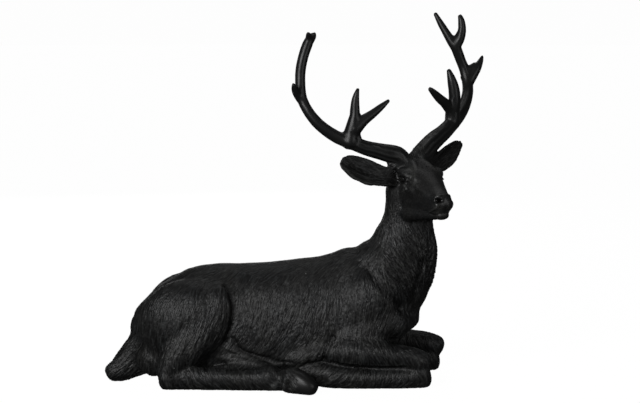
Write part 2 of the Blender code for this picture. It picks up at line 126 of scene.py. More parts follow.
# Up the neck, above is the nape and below is the throat.
NECK = (
    (27.0, 0, 20.0, 9.8, 12.0, 13.0),
    (33.0, 0, 32.0, 9.8, 12.1, 14.1),
    (36.2, 0, 36.6, 8.9, 9.9, 12.8),
    (38.0, 0, 40.2, 8.2, 9.6, 10.8),
    (38.9, 0, 44.2, 7.3, 9.0, 8.9),
    (39.3, 0, 47.4, 6.6, 7.7, 7.7),
    (39.5, -0.2, 50.4, 6.1, 7.1, 7.1),
    (39.6, -0.6, 54.0, 5.8, 6.8, 6.5),
    (39.7, -1.0, 58.0, 5.4, 6.9, 6.0),
    (39.8, -1.2, 62.0, 4.8, 5.2, 5.0),
)
TAIL = (
    (-48.8, -3.4, 3.0, 2.9, 2.4, 3.4),
    (-46.0, -2.4, 4.7, 3.5, 3.0, 5.2),
    (-42.8, -1.4, 8.0, 4.2, 3.7, 8.0),
    (-38.5, -0.6, 13.0, 5.6, 4.4, 10.6),
)
# Legs are given for the right side and run forward. Half width is across the leg.
SHANK = (
    (-31.6, -13.6, 4.2, 3.4, 3.2, 3.4),
    (-28.8, -13.0, 8.6, 4.4, 4.8, 5.0),
    (-24.2, -11.8, 13.6, 5.0, 6.6, 6.2),
    (-19.0, -10.2, 18.6, 5.2, 8.0, 6.6),
)
HIND_CANNON = (
    (-31.5, -14.0, 3.6, 3.3, 3.8, 3.7),
    (-27.0, -14.1, 3.6, 3.0, 3.6, 3.6),
    (-18.0, -14.6, 3.5, 2.8, 3.1, 3.6),
    (-9.0, -15.0, 3.4, 2.7, 2.9, 3.6),
    (-4.0, -15.2, 3.5, 2.9, 3.1, 3.6),
    (-1.2, -15.4, 3.8, 3.6, 4.1, 3.8),
    (2.2, -16.0, 3.6, 2.6, 2.8, 3.4),
    (4.6, -17.2, 4.0, 2.8, 3.2, 3.7),
)
HIND_HOOF = (
    (4.8, -17.6, 4.3, 3.0, 3.3, 4.4),
    (7.4, -19.2, 3.8, 3.3, 3.3, 4.0),
    (9.8, -20.5, 2.8, 3.1, 2.7, 3.0),
    (11.4, -21.2, 2.0, 2.6, 2.0, 2.2),
)
UPPER_ARM = (
    (17.4, -9.8, 11.8, 3.4, 3.8, 3.8),
    (22.0, -9.4, 13.8, 4.6, 5.2, 4.8),
    (29.0, -8.4, 17.0, 5.0, 6.2, 4.6),
    (35.0, -6.2, 19.4, 4.6, 5.6, 4.6),
)
FOREARM = (
    (16.8, -11.2, 10.4, 3.2, 3.8, 3.2),
    (22.0, -12.0, 10.4, 4.2, 5.0, 3.6),
    (30.0, -12.2, 10.1, 4.1, 4.3, 3.7),
    (36.0, -12.1, 9.8, 3.6, 3.3, 3.5),
    (40.5, -12.0, 9.2, 3.3, 3.2, 3.6),
    (43.6, -12.0, 7.6, 3.3, 3.4, 3.8),
)
FORE_CANNON = (
    (5.6, -10.8, 3.8, 2.4, 2.5, 3.2),
    (9.5, -11.6, 4.6, 2.5, 2.8, 3.6),
    (13.6, -12.2, 4.6, 2.7, 3.0, 4.0),
    (17.6, -12.6, 4.1, 2.9, 3.2, 3.9),
    (24.0, -12.7, 3.4, 2.8, 2.9, 3.6),
    (31.0, -12.5, 3.3, 2.8, 2.8, 3.6),
    (39.0, -12.2, 3.5, 3.0, 3.0, 3.7),
    (43.9, -12.0, 4.6, 3.1, 3.2, 4.3),
)
# How far the left foreleg's knee and cannon lie in front of the right one's.
LEFT_KNEE_AHEAD = 5.9
LEFT_CANNON_AHEAD = 4.2
KNEE_FROM = 10.0
KNEE_AT = 44.0

# Folds of skin beside the belly: one over the hind foot and one behind the elbow. x, y, z, radius.
BELLY_FOLD = (
    (-15.5, -10.6, 9.2, 1.2),
    (-9.5, -11.2, 8.0, 1.7),
    (-4.0, -12.0, 6.8, 1.4),
    (0.5, -12.6, 5.8, 0.9),
)
FOOT_FOLD = (
    (-19.0, -11.8, 5.6, 0.8),
    (-12.0, -12.4, 6.0, 1.4),
    (-5.0, -13.0, 5.6, 1.2),
    (-1.5, -13.2, 5.2, 0.7),
)
ELBOW_FOLD = (
    (1.6, -11.4, 7.6, 1.1),
    (6.6, -11.6, 8.6, 2.4),
    (11.0, -11.4, 9.9, 3.0),
    (14.2, -11.0, 10.6, 2.6),
)

# Rounded masses, drawn on the right side: middle, radii, then tilt and turn in degrees.
THIGH = ((-25.8, -7.8, 19.0), (14.0, 8.0, 12.6), -14, 0)
STIFLE = ((-17.0, -9.6, 21.0), (5.4, 5.0, 9.6), 8, 0)
SEAT = ((-35.4, -6.2, 7.8), (5.0, 5.2, 5.4), 0, 0)
SHOULDER = ((26.6, -7.4, 22.6), (9.6, 5.8, 13.2), 30, 0)
BREAST = ((34.8, -6.6, 18.6), (5.4, 4.8, 5.2), 0, 0)
DEWCLAW = ((0.2, -18.4, 2.0), (1.1, 0.8, 1.2), 0, 0)

# The head in its own frame: x from the crown to the nose, y to the stag's left, z up.
HEAD = (
    (-3.2, 0, -8.6, 4.8, 7.2, 8.2),
    (0.0, 0, -8.6, 6.0, 9.0, 9.0),
    (3.5, 0, -8.8, 6.3, 8.2, 8.8),
    (7.0, 0, -9.3, 5.9, 6.9, 8.0),
    (10.4, 0, -10.1, 4.7, 5.6, 6.6),
    (13.6, 0, -11.0, 3.8, 4.6, 5.0),
    (16.6, 0, -11.4, 3.3, 3.6, 3.8),
    (19.0, 0, -11.3, 3.0, 2.7, 2.3),
)
JAW = (
    (-1.6, -4.0, -14.4, 2.7),
    (2.0, -4.0, -15.3, 2.6),
    (7.0, -3.2, -15.3, 2.2),
    (12.0, -2.2, -15.1, 1.6),
    (15.6, -1.5, -15.0, 1.3),
)
# Masses of the head in its own frame, as above.
CHIN = ((17.2, 0, -15.0), (2.3, 2.3, 1.3), -4, 0)
NOSE_PAD = ((18.1, 0, -11.5), (2.1, 2.9, 2.3), 8, 0)
BROW = ((4.6, -4.8, -4.2), (3.4, 2.3, 1.9), 18, 8)
CHEEK = ((6.0, -4.0, -8.6), (4.6, 2.2, 3.0), 14, 0)
NOSTRIL_WING = ((18.0, -2.05, -11.0), (1.6, 1.1, 1.9), 0, 0)

# Antlers, branch by branch: x, y, z of the middle, then the radius, which BRANCH_GIRTH multiplies.
BRANCH_GIRTH = 1.09
RIGHT_ANTLER = (
    (
        (38.2, -2.2, 64.8, 2.60),
        (36.6, -2.6, 67.1, 2.54),
        (34.2, -3.2, 68.0, 2.44),
        (30.8, -3.8, 68.8, 2.16),
        (26.7, -4.6, 69.9, 1.95),
        (22.6, -5.2, 71.5, 1.84),
        (19.1, -5.7, 72.8, 1.74),
        (15.9, -6.0, 74.7, 1.63),
        (12.7, -6.1, 77.3, 1.54),
        (10.0, -5.8, 80.7, 1.44),
        (8.2, -5.0, 84.4, 1.42),
        (7.7, -4.3, 88.5, 1.40),
        (7.8, -3.6, 92.5, 1.42),
        (8.6, -3.0, 96.5, 1.42),
        (9.8, -2.5, 100.0, 1.42),
        (10.6, -2.2, 101.6, 1.20),
    ),
    ((22.2, -5.2, 71.9, 2.6), (22.6, -5.3, 74.4, 2.05), (23.2, -5.5, 77.0, 1.85), (23.7, -5.6, 79.5, 1.5)),
    ((20.0, -5.5, 72.8, 1.4), (21.4, -5.5, 74.2, 1.1), (22.4, -5.5, 76.2, 1.1)),
    ((23.6, -5.6, 78.9, 1.5), (23.6, -5.7, 81.6, 1.3), (23.8, -5.8, 84.5, 1.0), (24.4, -5.8, 87.0, 0.5)),
    (
        (23.4, -5.6, 75.4, 2.0),
        (26.0, -5.2, 77.9, 1.55),
        (28.7, -4.7, 79.8, 1.2),
        (31.1, -4.1, 81.7, 0.95),
        (33.4, -3.5, 83.6, 0.5),
    ),
    ((24.6, -5.4, 72.0, 1.2), (24.2, -5.5, 74.0, 1.0), (24.4, -5.5, 76.0, 1.2)),
    ((7.8, -5.0, 84.1, 1.2), (6.8, -6.0, 85.6, 1.1), (6.1, -7.2, 87.1, 0.9), (5.8, -8.3, 88.5, 0.5)),
    ((10.6, -2.2, 101.2, 1.2), (11.3, -0.4, 102.2, 1.0), (11.8, 2.4, 102.9, 0.5)),
    ((10.5, -2.2, 101.2, 1.2), (10.2, -3.5, 102.4, 0.9), (10.0, -4.9, 103.1, 0.5)),
)
LEFT_ANTLER = (
    (
        (41.6, 0.9, 65.4, 2.7),
        (43.9, 2.8, 67.8, 2.65),
        (47.4, 6.8, 71.1, 2.45),
        (50.7, 10.8, 73.4, 2.19),
        (53.5, 14.0, 75.9, 2.05),
        (56.0, 17.6, 78.5, 1.89),
        (57.9, 21.4, 81.5, 1.71),
        (59.0, 25.0, 84.7, 1.60),
        (59.0, 27.2, 88.0, 1.54),
        (58.1, 28.0, 91.7, 1.48),
        (57.0, 27.8, 94.4, 1.45),
        (55.7, 27.2, 97.7, 1.50),
        (55.1, 26.9, 99.3, 1.45),
    ),
    ((53.5, 14.0, 75.9, 2.2), (53.5, 13.6, 78.6, 2.1), (53.3, 13.0, 81.1, 1.9)),
    (
        (53.7, 13.0, 80.5, 1.9),
        (54.0, 12.6, 83.2, 1.7),
        (53.8, 12.4, 85.9, 1.6),
        (53.1, 12.2, 88.9, 1.3),
        (52.2, 12.2, 91.7, 0.7),
    ),
    (
        (52.8, 13.0, 80.2, 1.7),
        (50.9, 10.5, 82.2, 1.4),
        (49.1, 8.4, 83.7, 1.25),
        (47.5, 6.4, 85.3, 1.0),
        (46.1, 4.7, 86.6, 0.65),
    ),
    ((58.4, 27.8, 89.0, 1.4), (59.6, 28.2, 91.4, 1.1), (61.4, 28.6, 93.0, 0.8)),
    ((54.4, 27.1, 100.8, 0.9), (55.6, 27.0, 101.4, 0.9), (56.4, 26.8, 102.8, 0.8)),
    (
        (59.2, 27.0, 87.1, 1.5),
        (60.8, 27.8, 89.8, 1.4),
        (62.2, 28.6, 92.1, 1.25),
        (63.3, 29.3, 94.2, 0.8),
        (63.8, 29.5, 95.5, 0.45),
    ),
    (
        (55.1, 27.0, 98.8, 1.5),
        (53.7, 27.2, 100.8, 1.3),
        (52.1, 27.5, 103.4, 1.1),
        (50.5, 27.8, 106.1, 0.9),
        (49.1, 28.0, 108.6, 0.6),
    ),
    (
        (55.4, 27.0, 98.8, 1.5),
        (56.6, 26.8, 101.2, 1.4),
        (57.2, 26.6, 103.8, 1.2),
        (57.0, 26.6, 106.4, 1.0),
        (56.6, 26.6, 107.9, 0.7),
    ),
)

# The ears, from root to tip: x, y, z of the middle, half width, half thickness.
RIGHT_EAR = (
    (37.0, -2.8, 60.6, 2.5, 1.9),
    (33.8, -4.4, 61.1, 2.8, 1.3),
    (30.4, -5.8, 61.9, 3.35, 0.9),
    (26.6, -7.2, 63.2, 3.8, 0.75),
    (23.0, -8.4, 64.8, 3.4, 0.65),
    (20.6, -9.2, 65.9, 2.4, 0.55),
    (19.6, -9.6, 66.5, 1.4, 0.45),
)
LEFT_EAR = (
    (44.6, 2.6, 62.6, 2.6, 1.9),
    (47.4, 4.8, 64.1, 2.9, 1.3),
    (49.8, 7.2, 65.3, 3.3, 0.9),
    (52.2, 10.0, 66.8, 3.3, 0.75),
    (54.3, 12.4, 68.5, 2.5, 0.65),
    (55.7, 14.0, 69.4, 1.4, 0.55),
    (56.3, 14.6, 70.1, 0.8, 0.45),
)
# The way that each ear's hollow faces, and how deep it is.
RIGHT_EAR_FACES = (0.45, -0.85, 0.35)
LEFT_EAR_FACES = (0.8, -0.55, 0.1)
# The swelling that joins the right ear's root to the antler above it.
EAR_ROOT = ((38.0, -2.6, 63.4, 2.2), (35.6, -3.4, 64.6, 1.7), (34.0, -3.9, 65.2, 1.0))
EAR_CUP = 1.4

# The lie of the coat on the right side: place, direction of the hair and depth of its relief.
COAT = (
    ((-30, -4, 31), (-0.7, -0.3, -0.5), 0.5),
    ((-37, -6, 22), (-0.35, -0.1, -1), 0.6),
    ((-26, -11, 27), (-0.3, -0.1, -1), 0.6),
    ((-33, -11, 16), (-0.15, 0, -1), 0.8),
    ((-24, -15, 20), (-0.25, 0, -1), 1.0),
    ((-15, -14, 25), (-0.1, 0, -1), 0.9),
    ((-15, -14, 16), (-0.55, 0, -0.85), 1.3),
    ((-22, -14, 13), (-0.6, 0, -0.8), 1.2),
    ((-27, -14, 9), (-0.7, 0, -0.7), 1.1),
    ((-31, -15, 5), (0.2, 0, -1), 0.8),
    ((-24, -17, 4), (0.75, 0, -0.65), 1.0),
    ((-14, -17, 4), (0.8, 0, -0.6), 1.1),
    ((-5, -17, 4), (0.8, 0, -0.6), 0.9),
    ((2, -18, 4), (0.85, -0.2, -0.5), 0.6),
    ((-5, -13, 22), (-0.12, 0, -1), 1.0),
    ((-4, -13, 15), (-0.25, 0, -1), 1.1),
    ((-2, -13, 9), (-0.7, 0, -0.65), 0.8),
    ((-10, -12.4, 10), (-0.7, 0, -0.65), 0.3),
    ((-15, -12, 9), (-0.7, 0, -0.65), 0.3),
    ((-7, -13.4, 7), (-0.7, 0, -0.65), 0.3),
    ((8, -13, 22), (-0.25, 0, -1), 1.0),
    ((8, -14, 14), (-0.5, 0, -0.85), 1.1),
    ((9, -13, 9), (-0.75, 0, -0.5), 1.1),
    ((16, -13, 24), (-0.1, 0, -1), 0.9),
    ((16, -14, 15), (-0.35, 0, -0.9), 1.0),
    ((24, -13, 26), (0.1, 0, -1), 0.9),
    ((24, -13, 18), (0.0, 0, -1), 1.0),
    ((31, -12, 22), (-0.3, 0, -0.95), 1.0),
    ((31, -12, 17), (-0.6, 0, -0.8), 1.1),
    ((36, -10, 18), (-0.65, 0, -0.75), 0.8),
    ((21, -14, 11), (0.1, 0, -1), 0.9),
    ((30, -15, 10), (0.75, 0, -0.65), 0.9),
    ((38, -15, 9), (0.8, 0, -0.5), 0.8),
    ((44, -14, 7), (0.4, 0, -0.9), 0.6),
    ((36, -15, 4), (-0.8, 0, -0.5), 0.7),
    ((22, -15, 4), (-0.8, 0, -0.5), 0.8),
    ((-20, -4, 34), (-1, -0.2, -0.1), 0.25),
    ((0, -3, 35.5), (-1, -0.2, 0), 0.25),
    ((14, -3, 37), (-1, -0.2, -0.1), 0.3),
    ((-10, -9, 31), (-0.4, -0.2, -0.9), 0.5),
    ((6, -9, 32), (-0.4, -0.2, -0.9), 0.5),
    ((17, -9, 33), (-0.3, -0.2, -0.9), 0.5),
    ((24, -4, 39), (-0.85, 0, -0.45), 0.5),
    ((29, -6, 37), (-0.3, 0, -0.95), 0.7),
    ((31, -3, 46), (-0.35, 0, -1), 0.8),
    ((33, -5, 55), (-0.2, 0, -1), 0.8),
    ((38, -6, 54), (0.3, 0, -0.95), 1.0),
    ((35, -7, 46), (0.45, 0, -0.9), 1.0),
    ((42, -6.5, 47), (0.65, 0, -0.76), 1.4),
    ((41, -7.5, 42), (0.72, 0, -0.7), 1.7),
    ((40, -9, 37), (0.76, 0, -0.65), 1.8),
    ((36, -9.5, 32), (0.66, 0, -0.75), 1.6),
    ((39, -8, 28), (0.6, 0, -0.8), 1.4),
    ((46.5, -3, 40), (-0.6, 0, -0.8), 1.4),
    ((46.5, -3, 35), (-0.75, 0, -0.66), 1.4),
    ((45, -3, 29), (-0.5, 0, -0.85), 1.1),
    ((45.5, -1, 46), (0, 0, -1), 1.1),
    ((45, -1, 53), (0, 0, -1), 0.8),
    ((43, -4, 23), (0.1, 0, -1), 0.6),
    ((36, -4, 14), (-0.8, 0, -0.4), 0.4),
    ((-45, -3, 5), (-0.8, -0.1, -0.55), 1.2),
    ((-41, -3, 11), (-0.6, 0, -0.8), 1.0),
)

# The lie of the hair on the head, in its own frame, right side.
HEAD_COAT = (
    ((0, -2, 0.5), (1, -0.1, -0.3), 0.5),
    ((5, -2, -1.5), (1, -0.2, -0.4), 0.35),
    ((11, -2, -4.5), (1, 0, -0.4), 0.15),
    ((17, -1, -7.5), (1, 0, -0.4), 0.0),
    ((2, -6, -4), (-0.7, 0, -0.7), 0.45),
    ((6, -6, -9), (-0.5, 0, -0.8), 0.25),
    ((2, -6, -14), (-0.3, 0, -0.95), 0.35),
    ((10, -4, -13), (-0.9, 0, -0.3), 0.15),
    ((14, -3, -11), (-0.9, 0, -0.3), 0.08),
    ((19, -2, -11), (1, 0, 0), 0.0),
    ((18, -2, -14), (1, 0, 0), 0.0),
)

# Carved lines on both sides of the body, drawn on the right: path, width, and how far they stand out.
CREASES = (
    (((26.8, -8.6, 36.0), (29.9, -11.1, 31.6), (33.8, -11.2, 26.8), (36.6, -8.6, 22.9)), 1.10, -0.60),
    (((27.9, -8.4, 36.2), (31.2, -10.6, 32.4), (34.6, -10.8, 28.6)), 1.40, 0.22),
    (((27.0, -12.8, 14.4), (30.4, -11.8, 14.4), (34.2, -9.4, 14.2), (38.0, -7.4, 14.2)), 0.60, -1.0),
    (
        (
            (-14.1, -9.0, 30.1), (-12.3, -10.9, 26.9), (-11.5, -11.6, 24.0),
            (-12.0, -12.3, 19.4), (-14.1, -12.3, 13.7),
        ),
        0.80,
        -0.8,
    ),
    (((43.3, -6.9, 36.6), (42.6, -7.0, 32.7), (41.4, -7.1, 28.3), (40.3, -6.7, 24.4)), 1.00, -0.5),
    (((17.1, -12.9, 15.4), (15.6, -13.7, 12.1), (14.5, -13.0, 9.0)), 0.60, -0.7),
    (
        (
            (16.7, -13.9, 8.1), (22.3, -15.0, 7.4), (27.2, -15.0, 7.0),
            (33.8, -14.6, 6.6), (38.0, -14.6, 6.8),
        ),
        0.45,
        -0.55,
    ),
    (
        (
            (17.2, -14.0, 8.9), (22.3, -15.2, 8.2), (27.2, -15.2, 7.8),
            (33.8, -14.8, 7.4), (38.0, -14.8, 7.6),
        ),
        0.40,
        0.25,
    ),
    (((2.4, -13.0, 8.1), (8.0, -13.2, 8.0), (13.4, -13.0, 8.2)), 0.45, -0.55),
    (((-11.7, -12.1, 14.7), (-9.4, -12.0, 11.3), (-4.8, -12.0, 9.6), (2.2, -12.4, 7.8)), 0.60, -0.6),
    (((-13.6, -11.9, 12.0), (-9.4, -12.0, 10.2), (-4.3, -12.4, 8.7), (0.6, -12.8, 7.4)), 0.45, 0.60),
)
# The hind dewclaw, which is painted paler: middle and reach.
BRIGHT_DEWCLAW = ((0.2, -18.8, 2.0), 1.2)
# Lines on the hooves: the coronet's ring, the band above it and the cleft between the toes.
HOOF_LINES = (
    (
        ((3.9, -20.4, 1.6), (4.1, -20.7, 3.7), (5.9, -20.6, 5.6), (7.2, -19.4, 6.8), (8.2, -17.6, 6.8)),
        0.40,
        -0.40,
    ),
    (
        ((3.0, -19.9, 1.6), (3.2, -20.1, 4.0), (4.8, -19.8, 6.2), (6.2, -18.6, 7.4), (7.2, -16.8, 7.2)),
        0.50,
        0.30,
    ),
    (((7.2, -19.4, 6.8), (9.3, -20.7, 5.8), (10.7, -21.8, 4.2), (11.9, -22.5, 2.1)), 0.32, -0.50),
)

# The face, on both sides, in the head's frame: path, width, and how far it stands out.
FACE_LINES = (
    # Upper and lower lid, and the tear duct with the hollow behind it.
    (
        ((1.9, -7.1, -5.3), (2.7, -7.0, -4.7), (3.9, -6.8, -4.4), (5.3, -6.4, -4.7), (6.8, -5.8, -5.5)),
        0.30,
        0.55,
    ),
    (((2.8, -7.0, -4.1), (3.6, -6.9, -3.7), (4.6, -6.7, -3.7), (5.9, -6.3, -4.1)), 0.28, -0.32),
    (
        ((2.1, -6.9, -6.3), (3.0, -6.7, -6.7), (4.1, -6.5, -6.8), (5.5, -6.2, -6.3), (6.8, -5.8, -5.6)),
        0.28,
        0.42,
    ),
    (((3.2, -6.7, -7.2), (4.4, -6.5, -7.3), (5.2, -6.3, -7.0)), 0.28, -0.25),
    (((5.9, -6.0, -6.5), (6.2, -5.9, -7.3), (6.8, -5.9, -8.2)), 0.40, 0.45),
    (((5.0, -6.2, -6.9), (5.3, -6.1, -7.8), (5.9, -6.0, -8.8)), 0.40, -0.35),
    # The brow's edge from the crown, and the tuft over the eye.
    (
        ((1.6, -1.9, 0.5), (3.5, -2.2, -0.7), (5.8, -2.8, -2.0), (7.6, -3.4, -3.4), (8.8, -4.2, -5.0)),
        0.90,
        0.45,
    ),
    (((3.0, -6.8, -3.1), (4.0, -6.4, -2.9), (5.2, -6.0, -3.1)), 0.40, 0.20),
    # The slit of the mouth, and the lip's fold up to the nostril.
    (
        (
            (15.0, -3.0, -14.2), (16.5, -2.5, -14.6), (18.0, -2.0, -14.5),
            (18.8, -1.1, -14.2), (19.1, 0.0, -14.0),
        ),
        0.24,
        -0.30,
    ),
    (((15.3, -2.9, -14.0), (16.7, -2.9, -13.5), (18.3, -2.8, -12.8), (19.5, -2.6, -12.1)), 0.26, 0.48),
    # The nostril's rim and the top edge of the nose pad.
    (
        (
            (19.0, -3.2, -10.6), (18.4, -3.0, -9.9), (18.8, -2.4, -9.3),
            (19.6, -1.7, -9.4), (20.2, -1.6, -10.2),
        ),
        0.36,
        0.38,
    ),
    (((20.3, -2.0, -11.0), (19.7, -2.6, -11.5), (19.2, -3.0, -11.2)), 0.36, 0.45),
    (((18.1, -2.6, -9.3), (18.8, -1.4, -8.9), (19.2, 0.0, -8.7)), 0.40, 0.25),
    # The groove down the front of the nose pad.
    (((20.6, 0.0, -10.6), (20.5, 0.0, -12.0), (20.0, 0.0, -13.2)), 0.30, -0.30),
    # The side of the nose.
    (((9.0, -4.6, -6.6), (12.0, -3.9, -8.0), (15.0, -3.2, -9.2)), 0.80, 0.22),
)
# Hollows and swellings of the face: middle, radii and how far they stand out.
FACE_DENTS = (
    ((3.9, -6.6, -5.6), (3.1, 2.6, 1.2), -0.90),
    ((19.6, -2.5, -10.2), (0.85, 1.1, 0.60), -2.10),
    ((5.0, 0.0, -1.4), (4.0, 1.6, 2.0), -0.30),
    ((8.6, -5.2, -9.6), (2.4, 2.0, 1.4), -0.25),
    ((18.0, -1.2, -14.0), (1.8, 2.2, 0.6), 0.40),
    ((18.7, -2.0, -12.6), (1.3, 1.5, 0.9), 0.40),
)
EYE = ((3.8, -6.5, -5.6), (2.10, 0.80), 1.00)
# Behind the eye and under the ear's root the skin is plain, and painted shade darkens it: middle and
# radii.
PLAIN_SHADED_HOLLOW = ((0.2, -6.8, -5.4), (1.8, 2.6, 4.0))
# Where the brow beside the eye is painted pale, as a painted highlight.
PAINTED_BROW_HIGHLIGHT = ((5.0, -4.6, -3.0), (2.6, 2.2, 2.4))
# How far around the eye's middle the iron looks wet.
WET_EYE = (2.2, 1.6, 0.8)

# Lines in the ears' hollows: path, width and how far they stand out.
EAR_LINES = (
    (((22.3, -8.5, 65.1), (24.3, -7.8, 63.8), (26.4, -7.2, 62.8), (28.4, -6.7, 61.7)), 0.50, -0.65),
    (((24.2, -7.7, 64.7), (26.1, -7.1, 63.7), (28.3, -6.5, 62.4)), 0.42, 0.50),
    (((27.6, -6.4, 65.7), (29.6, -5.8, 64.1), (31.7, -5.3, 62.1)), 0.50, 0.45),
    (((20.2, -10.0, 64.8), (22.5, -10.1, 62.3), (24.9, -9.9, 60.3), (28.4, -8.3, 59.8)), 0.55, 0.40),
    (((49.1, 5.7, 66.0), (51.0, 8.1, 67.6), (53.3, 10.6, 69.2)), 0.60, -0.60),
    (((51.4, 8.7, 65.7), (52.4, 10.0, 66.8)), 0.50, 0.40),
)

# What the camera looks at and how far off it is, in shares.
AIM = (13.3, 0.0, 53.6)
CAMERA_DISTANCE = 500
# The lamps, in metres: place, and width and height. All of them point at LAMPS_AIM.
LAMPS = {
    "key": ((-1.7, -2.7, 1.5), (1.8, 1.4)),
    "fill": ((2.4, -2.2, 1.0), (1.4, 1.8)),
    "top": ((0.2, 0.9, 2.4), (1.8, 1.2)),
    "rear": ((-0.6, 3.2, 0.7), (2.0, 1.0)),
}
LAMPS_AIM = (0, 0, 0.3)
FLOOR_RADIUS = 30.0


def smooth_run(stations, steps=STEPS):
    """Points along a Catmull-Rom curve through the stations, in all their columns."""
    given = np.array(stations, float)
    padded = np.vstack([2 * given[0] - given[1], given, 2 * given[-1] - given[-2]])
    run = []
    for i in range(1, len(padded) - 2):
        before, start, end, after = padded[i - 1 : i + 3]
        for t in np.linspace(0, 1, steps, endpoint=False):
            run.append(
                0.5
                * (
                    2 * start
                    + (end - before) * t
                    + (2 * before - 5 * start + 4 * end - after) * t**2
                    + (3 * start - before - 3 * end + after) * t**3
                )
            )
    run.append(given[-1])
    return np.array(run)


def unit(vector):
    return vector / max(np.linalg.norm(vector), 1e-9)


def tangents(points):
    ahead = np.vstack([points[1:], points[-1:]])
    behind = np.vstack([points[:1], points[:-1]])
    return np.array([unit(v) for v in ahead - behind])


def skin_rings(rings):
    """A closed mesh over a list of rings, with a point at each end."""
    count = len(rings[0])
    points = [rings[0].mean(axis=0)]
    for ring in rings:
        points.extend(ring)
    points.append(rings[-1].mean(axis=0))
    last = len(points) - 1
    faces = []
    for i in range(count):
        j = (i + 1) % count
        faces.append((0, 1 + j, 1 + i))
        faces.append((last, last - count + i, last - count + j))
    for r in range(len(rings) - 1):
        low, high = 1 + r * count, 1 + (r + 1) * count
        for i in range(count):
            j = (i + 1) % count
            faces.append((low + i, low + j, high + j, high + i))
    return np.array(points), faces


def loft(stations, side=(0, 1, 0), sides=SIDES, ends=0.55, square=2.0):
    """A rounded tube through the stations. side is the direction of its half width."""
    run = smooth_run(stations)
    middles, sizes = run[:, :3], run[:, 3:]
    along = tangents(middles)
    angles = np.linspace(0, 2 * math.pi, sides, endpoint=False)
    power = 2.0 / square
    across = np.sign(np.cos(angles)) * np.abs(np.cos(angles)) ** power
    upward = np.sign(np.sin(angles)) * np.abs(np.sin(angles)) ** power
    rings = []

    def add_ring(middle, tangent, size, scale):
        lateral = unit(np.array(side, float) - np.dot(side, tangent) * tangent)
        rise = np.cross(tangent, lateral)
        heights = np.where(upward > 0, size[1], size[2]) * upward
        rings.append(middle + scale * (np.outer(across * size[0], lateral) + np.outer(heights, rise)))

    caps = np.radians((67.5, 45.0, 22.5))
    reach = ends * sizes[0].mean()
    for cap in caps:
        add_ring(middles[0] - along[0] * reach * math.sin(cap), along[0], sizes[0], math.cos(cap))
    for middle, tangent, size in zip(middles, along, sizes):
        add_ring(middle, tangent, size, 1.0)
    reach = ends * sizes[-1].mean()
    for cap in caps[::-1]:
        add_ring(middles[-1] + along[-1] * reach * math.sin(cap), along[-1], sizes[-1], math.cos(cap))
    return skin_rings(rings)


def round_tube(stations, sides=14):
    """A round tube through stations of x, y, z and radius."""
    sized = [(*s[:3], s[3], s[3], s[3]) for s in stations]
    return loft(sized, side=(0.3, 0.9, 0.1), sides=sides, ends=0.9)


def ball(middle, radii, tilt, turn):
    """An ellipsoid, tilted about the Y axis and turned about the Z axis, in degrees."""
    shape = bmesh.new()
    bmesh.ops.create_uvsphere(shape, u_segments=28, v_segments=18, radius=1.0)
    place = Matrix.Rotation(math.radians(turn), 4, "Z") @ Matrix.Rotation(math.radians(tilt), 4, "Y")
    points = np.array([place @ Vector(np.array(v.co) * radii) for v in shape.verts]) + middle
    faces = [tuple(v.index for v in f.verts) for f in shape.faces]
    shape.free()
    return points, faces


def mirrored(shell):
    """The same shell on the stag's left."""
    points, faces = shell
    return points * (1, -1, 1), [face[::-1] for face in faces]


def head_frame():
    """The head's frame in the figure, in shares."""
    turn = Matrix.Rotation(math.radians(HEAD_TURN), 4, "Z")
    nod = Matrix.Rotation(math.radians(HEAD_NOD), 4, "Y")
    return Matrix.Translation(CROWN) @ turn @ nod


def placed(shell, stance):
    """The shell, moved from its own frame to where the stance puts it."""
    points, faces = shell
    matrix = np.array(stance)
    return points @ matrix[:3, :3].T + matrix[:3, 3], faces


def ear(stations, facing):
    """A cupped leaf whose hollow faces the given way."""
    run = smooth_run(stations, 6)
    middles = run[:, :3]
    along = tangents(middles)
    angles = np.linspace(0, 2 * math.pi, 24, endpoint=False)
    rings = []
    for middle, tangent, (width, thick) in zip(middles, along, run[:, 3:]):
        out = unit(np.array(facing, float) - np.dot(facing, tangent) * tangent)
        across = np.cross(out, tangent)
        spread = np.cos(angles)
        round_rim = np.sign(np.sin(angles)) * np.abs(np.sin(angles)) ** 0.5
        depth = thick * round_rim + EAR_CUP * (spread**2 - 0.5) * width / 3.5
        rings.append(middle + np.outer(spread * width, across) + np.outer(depth, out))
    return skin_rings(rings)


def shells_to_mesh(name, shells):
    points, faces = [], []
    for shell_points, shell_faces in shells:
        start = len(points)
        points.extend(shell_points)
        faces.extend(tuple(start + i for i in face) for face in shell_faces)
    mesh = bpy.data.meshes.new(name)
    mesh.from_pydata([tuple(p) for p in points], [], faces)
    work = bmesh.new()
    work.from_mesh(mesh)
    bmesh.ops.recalc_face_normals(work, faces=work.faces)
    work.to_mesh(mesh)
    work.free()
    return mesh


def evaluated(mesh, add_modifiers):
    """The mesh after the modifiers that add_modifiers puts on an object holding it."""
    holder = bpy.data.objects.new("holder", mesh)
    bpy.context.scene.collection.objects.link(holder)
    add_modifiers(holder.modifiers)
    graph = bpy.context.evaluated_depsgraph_get()
    made = bpy.data.meshes.new_from_object(holder.evaluated_get(graph))
    bpy.data.objects.remove(holder)
    return made


def fused(mesh, voxel, smoothing):
    """The union of a mesh's shells as one skin, with its creases eased."""

    def add(modifiers):
        remesh = modifiers.new("fuse", "REMESH")
        remesh.mode = "VOXEL"
        remesh.voxel_size = voxel
        if smoothing:
            ease = modifiers.new("ease", "SMOOTH")
            ease.factor = 0.5
            ease.iterations = smoothing

    return evaluated(mesh, add)


def mesh_shell(mesh):
    return points_of(mesh), [tuple(p.vertices) for p in mesh.polygons]


def stretched(run, ahead):
    """The same stations with the knee's end moved forward."""
    return [(x + ahead * max(0.0, (x - KNEE_FROM) / (KNEE_AT - KNEE_FROM)), *rest) for x, *rest in run]


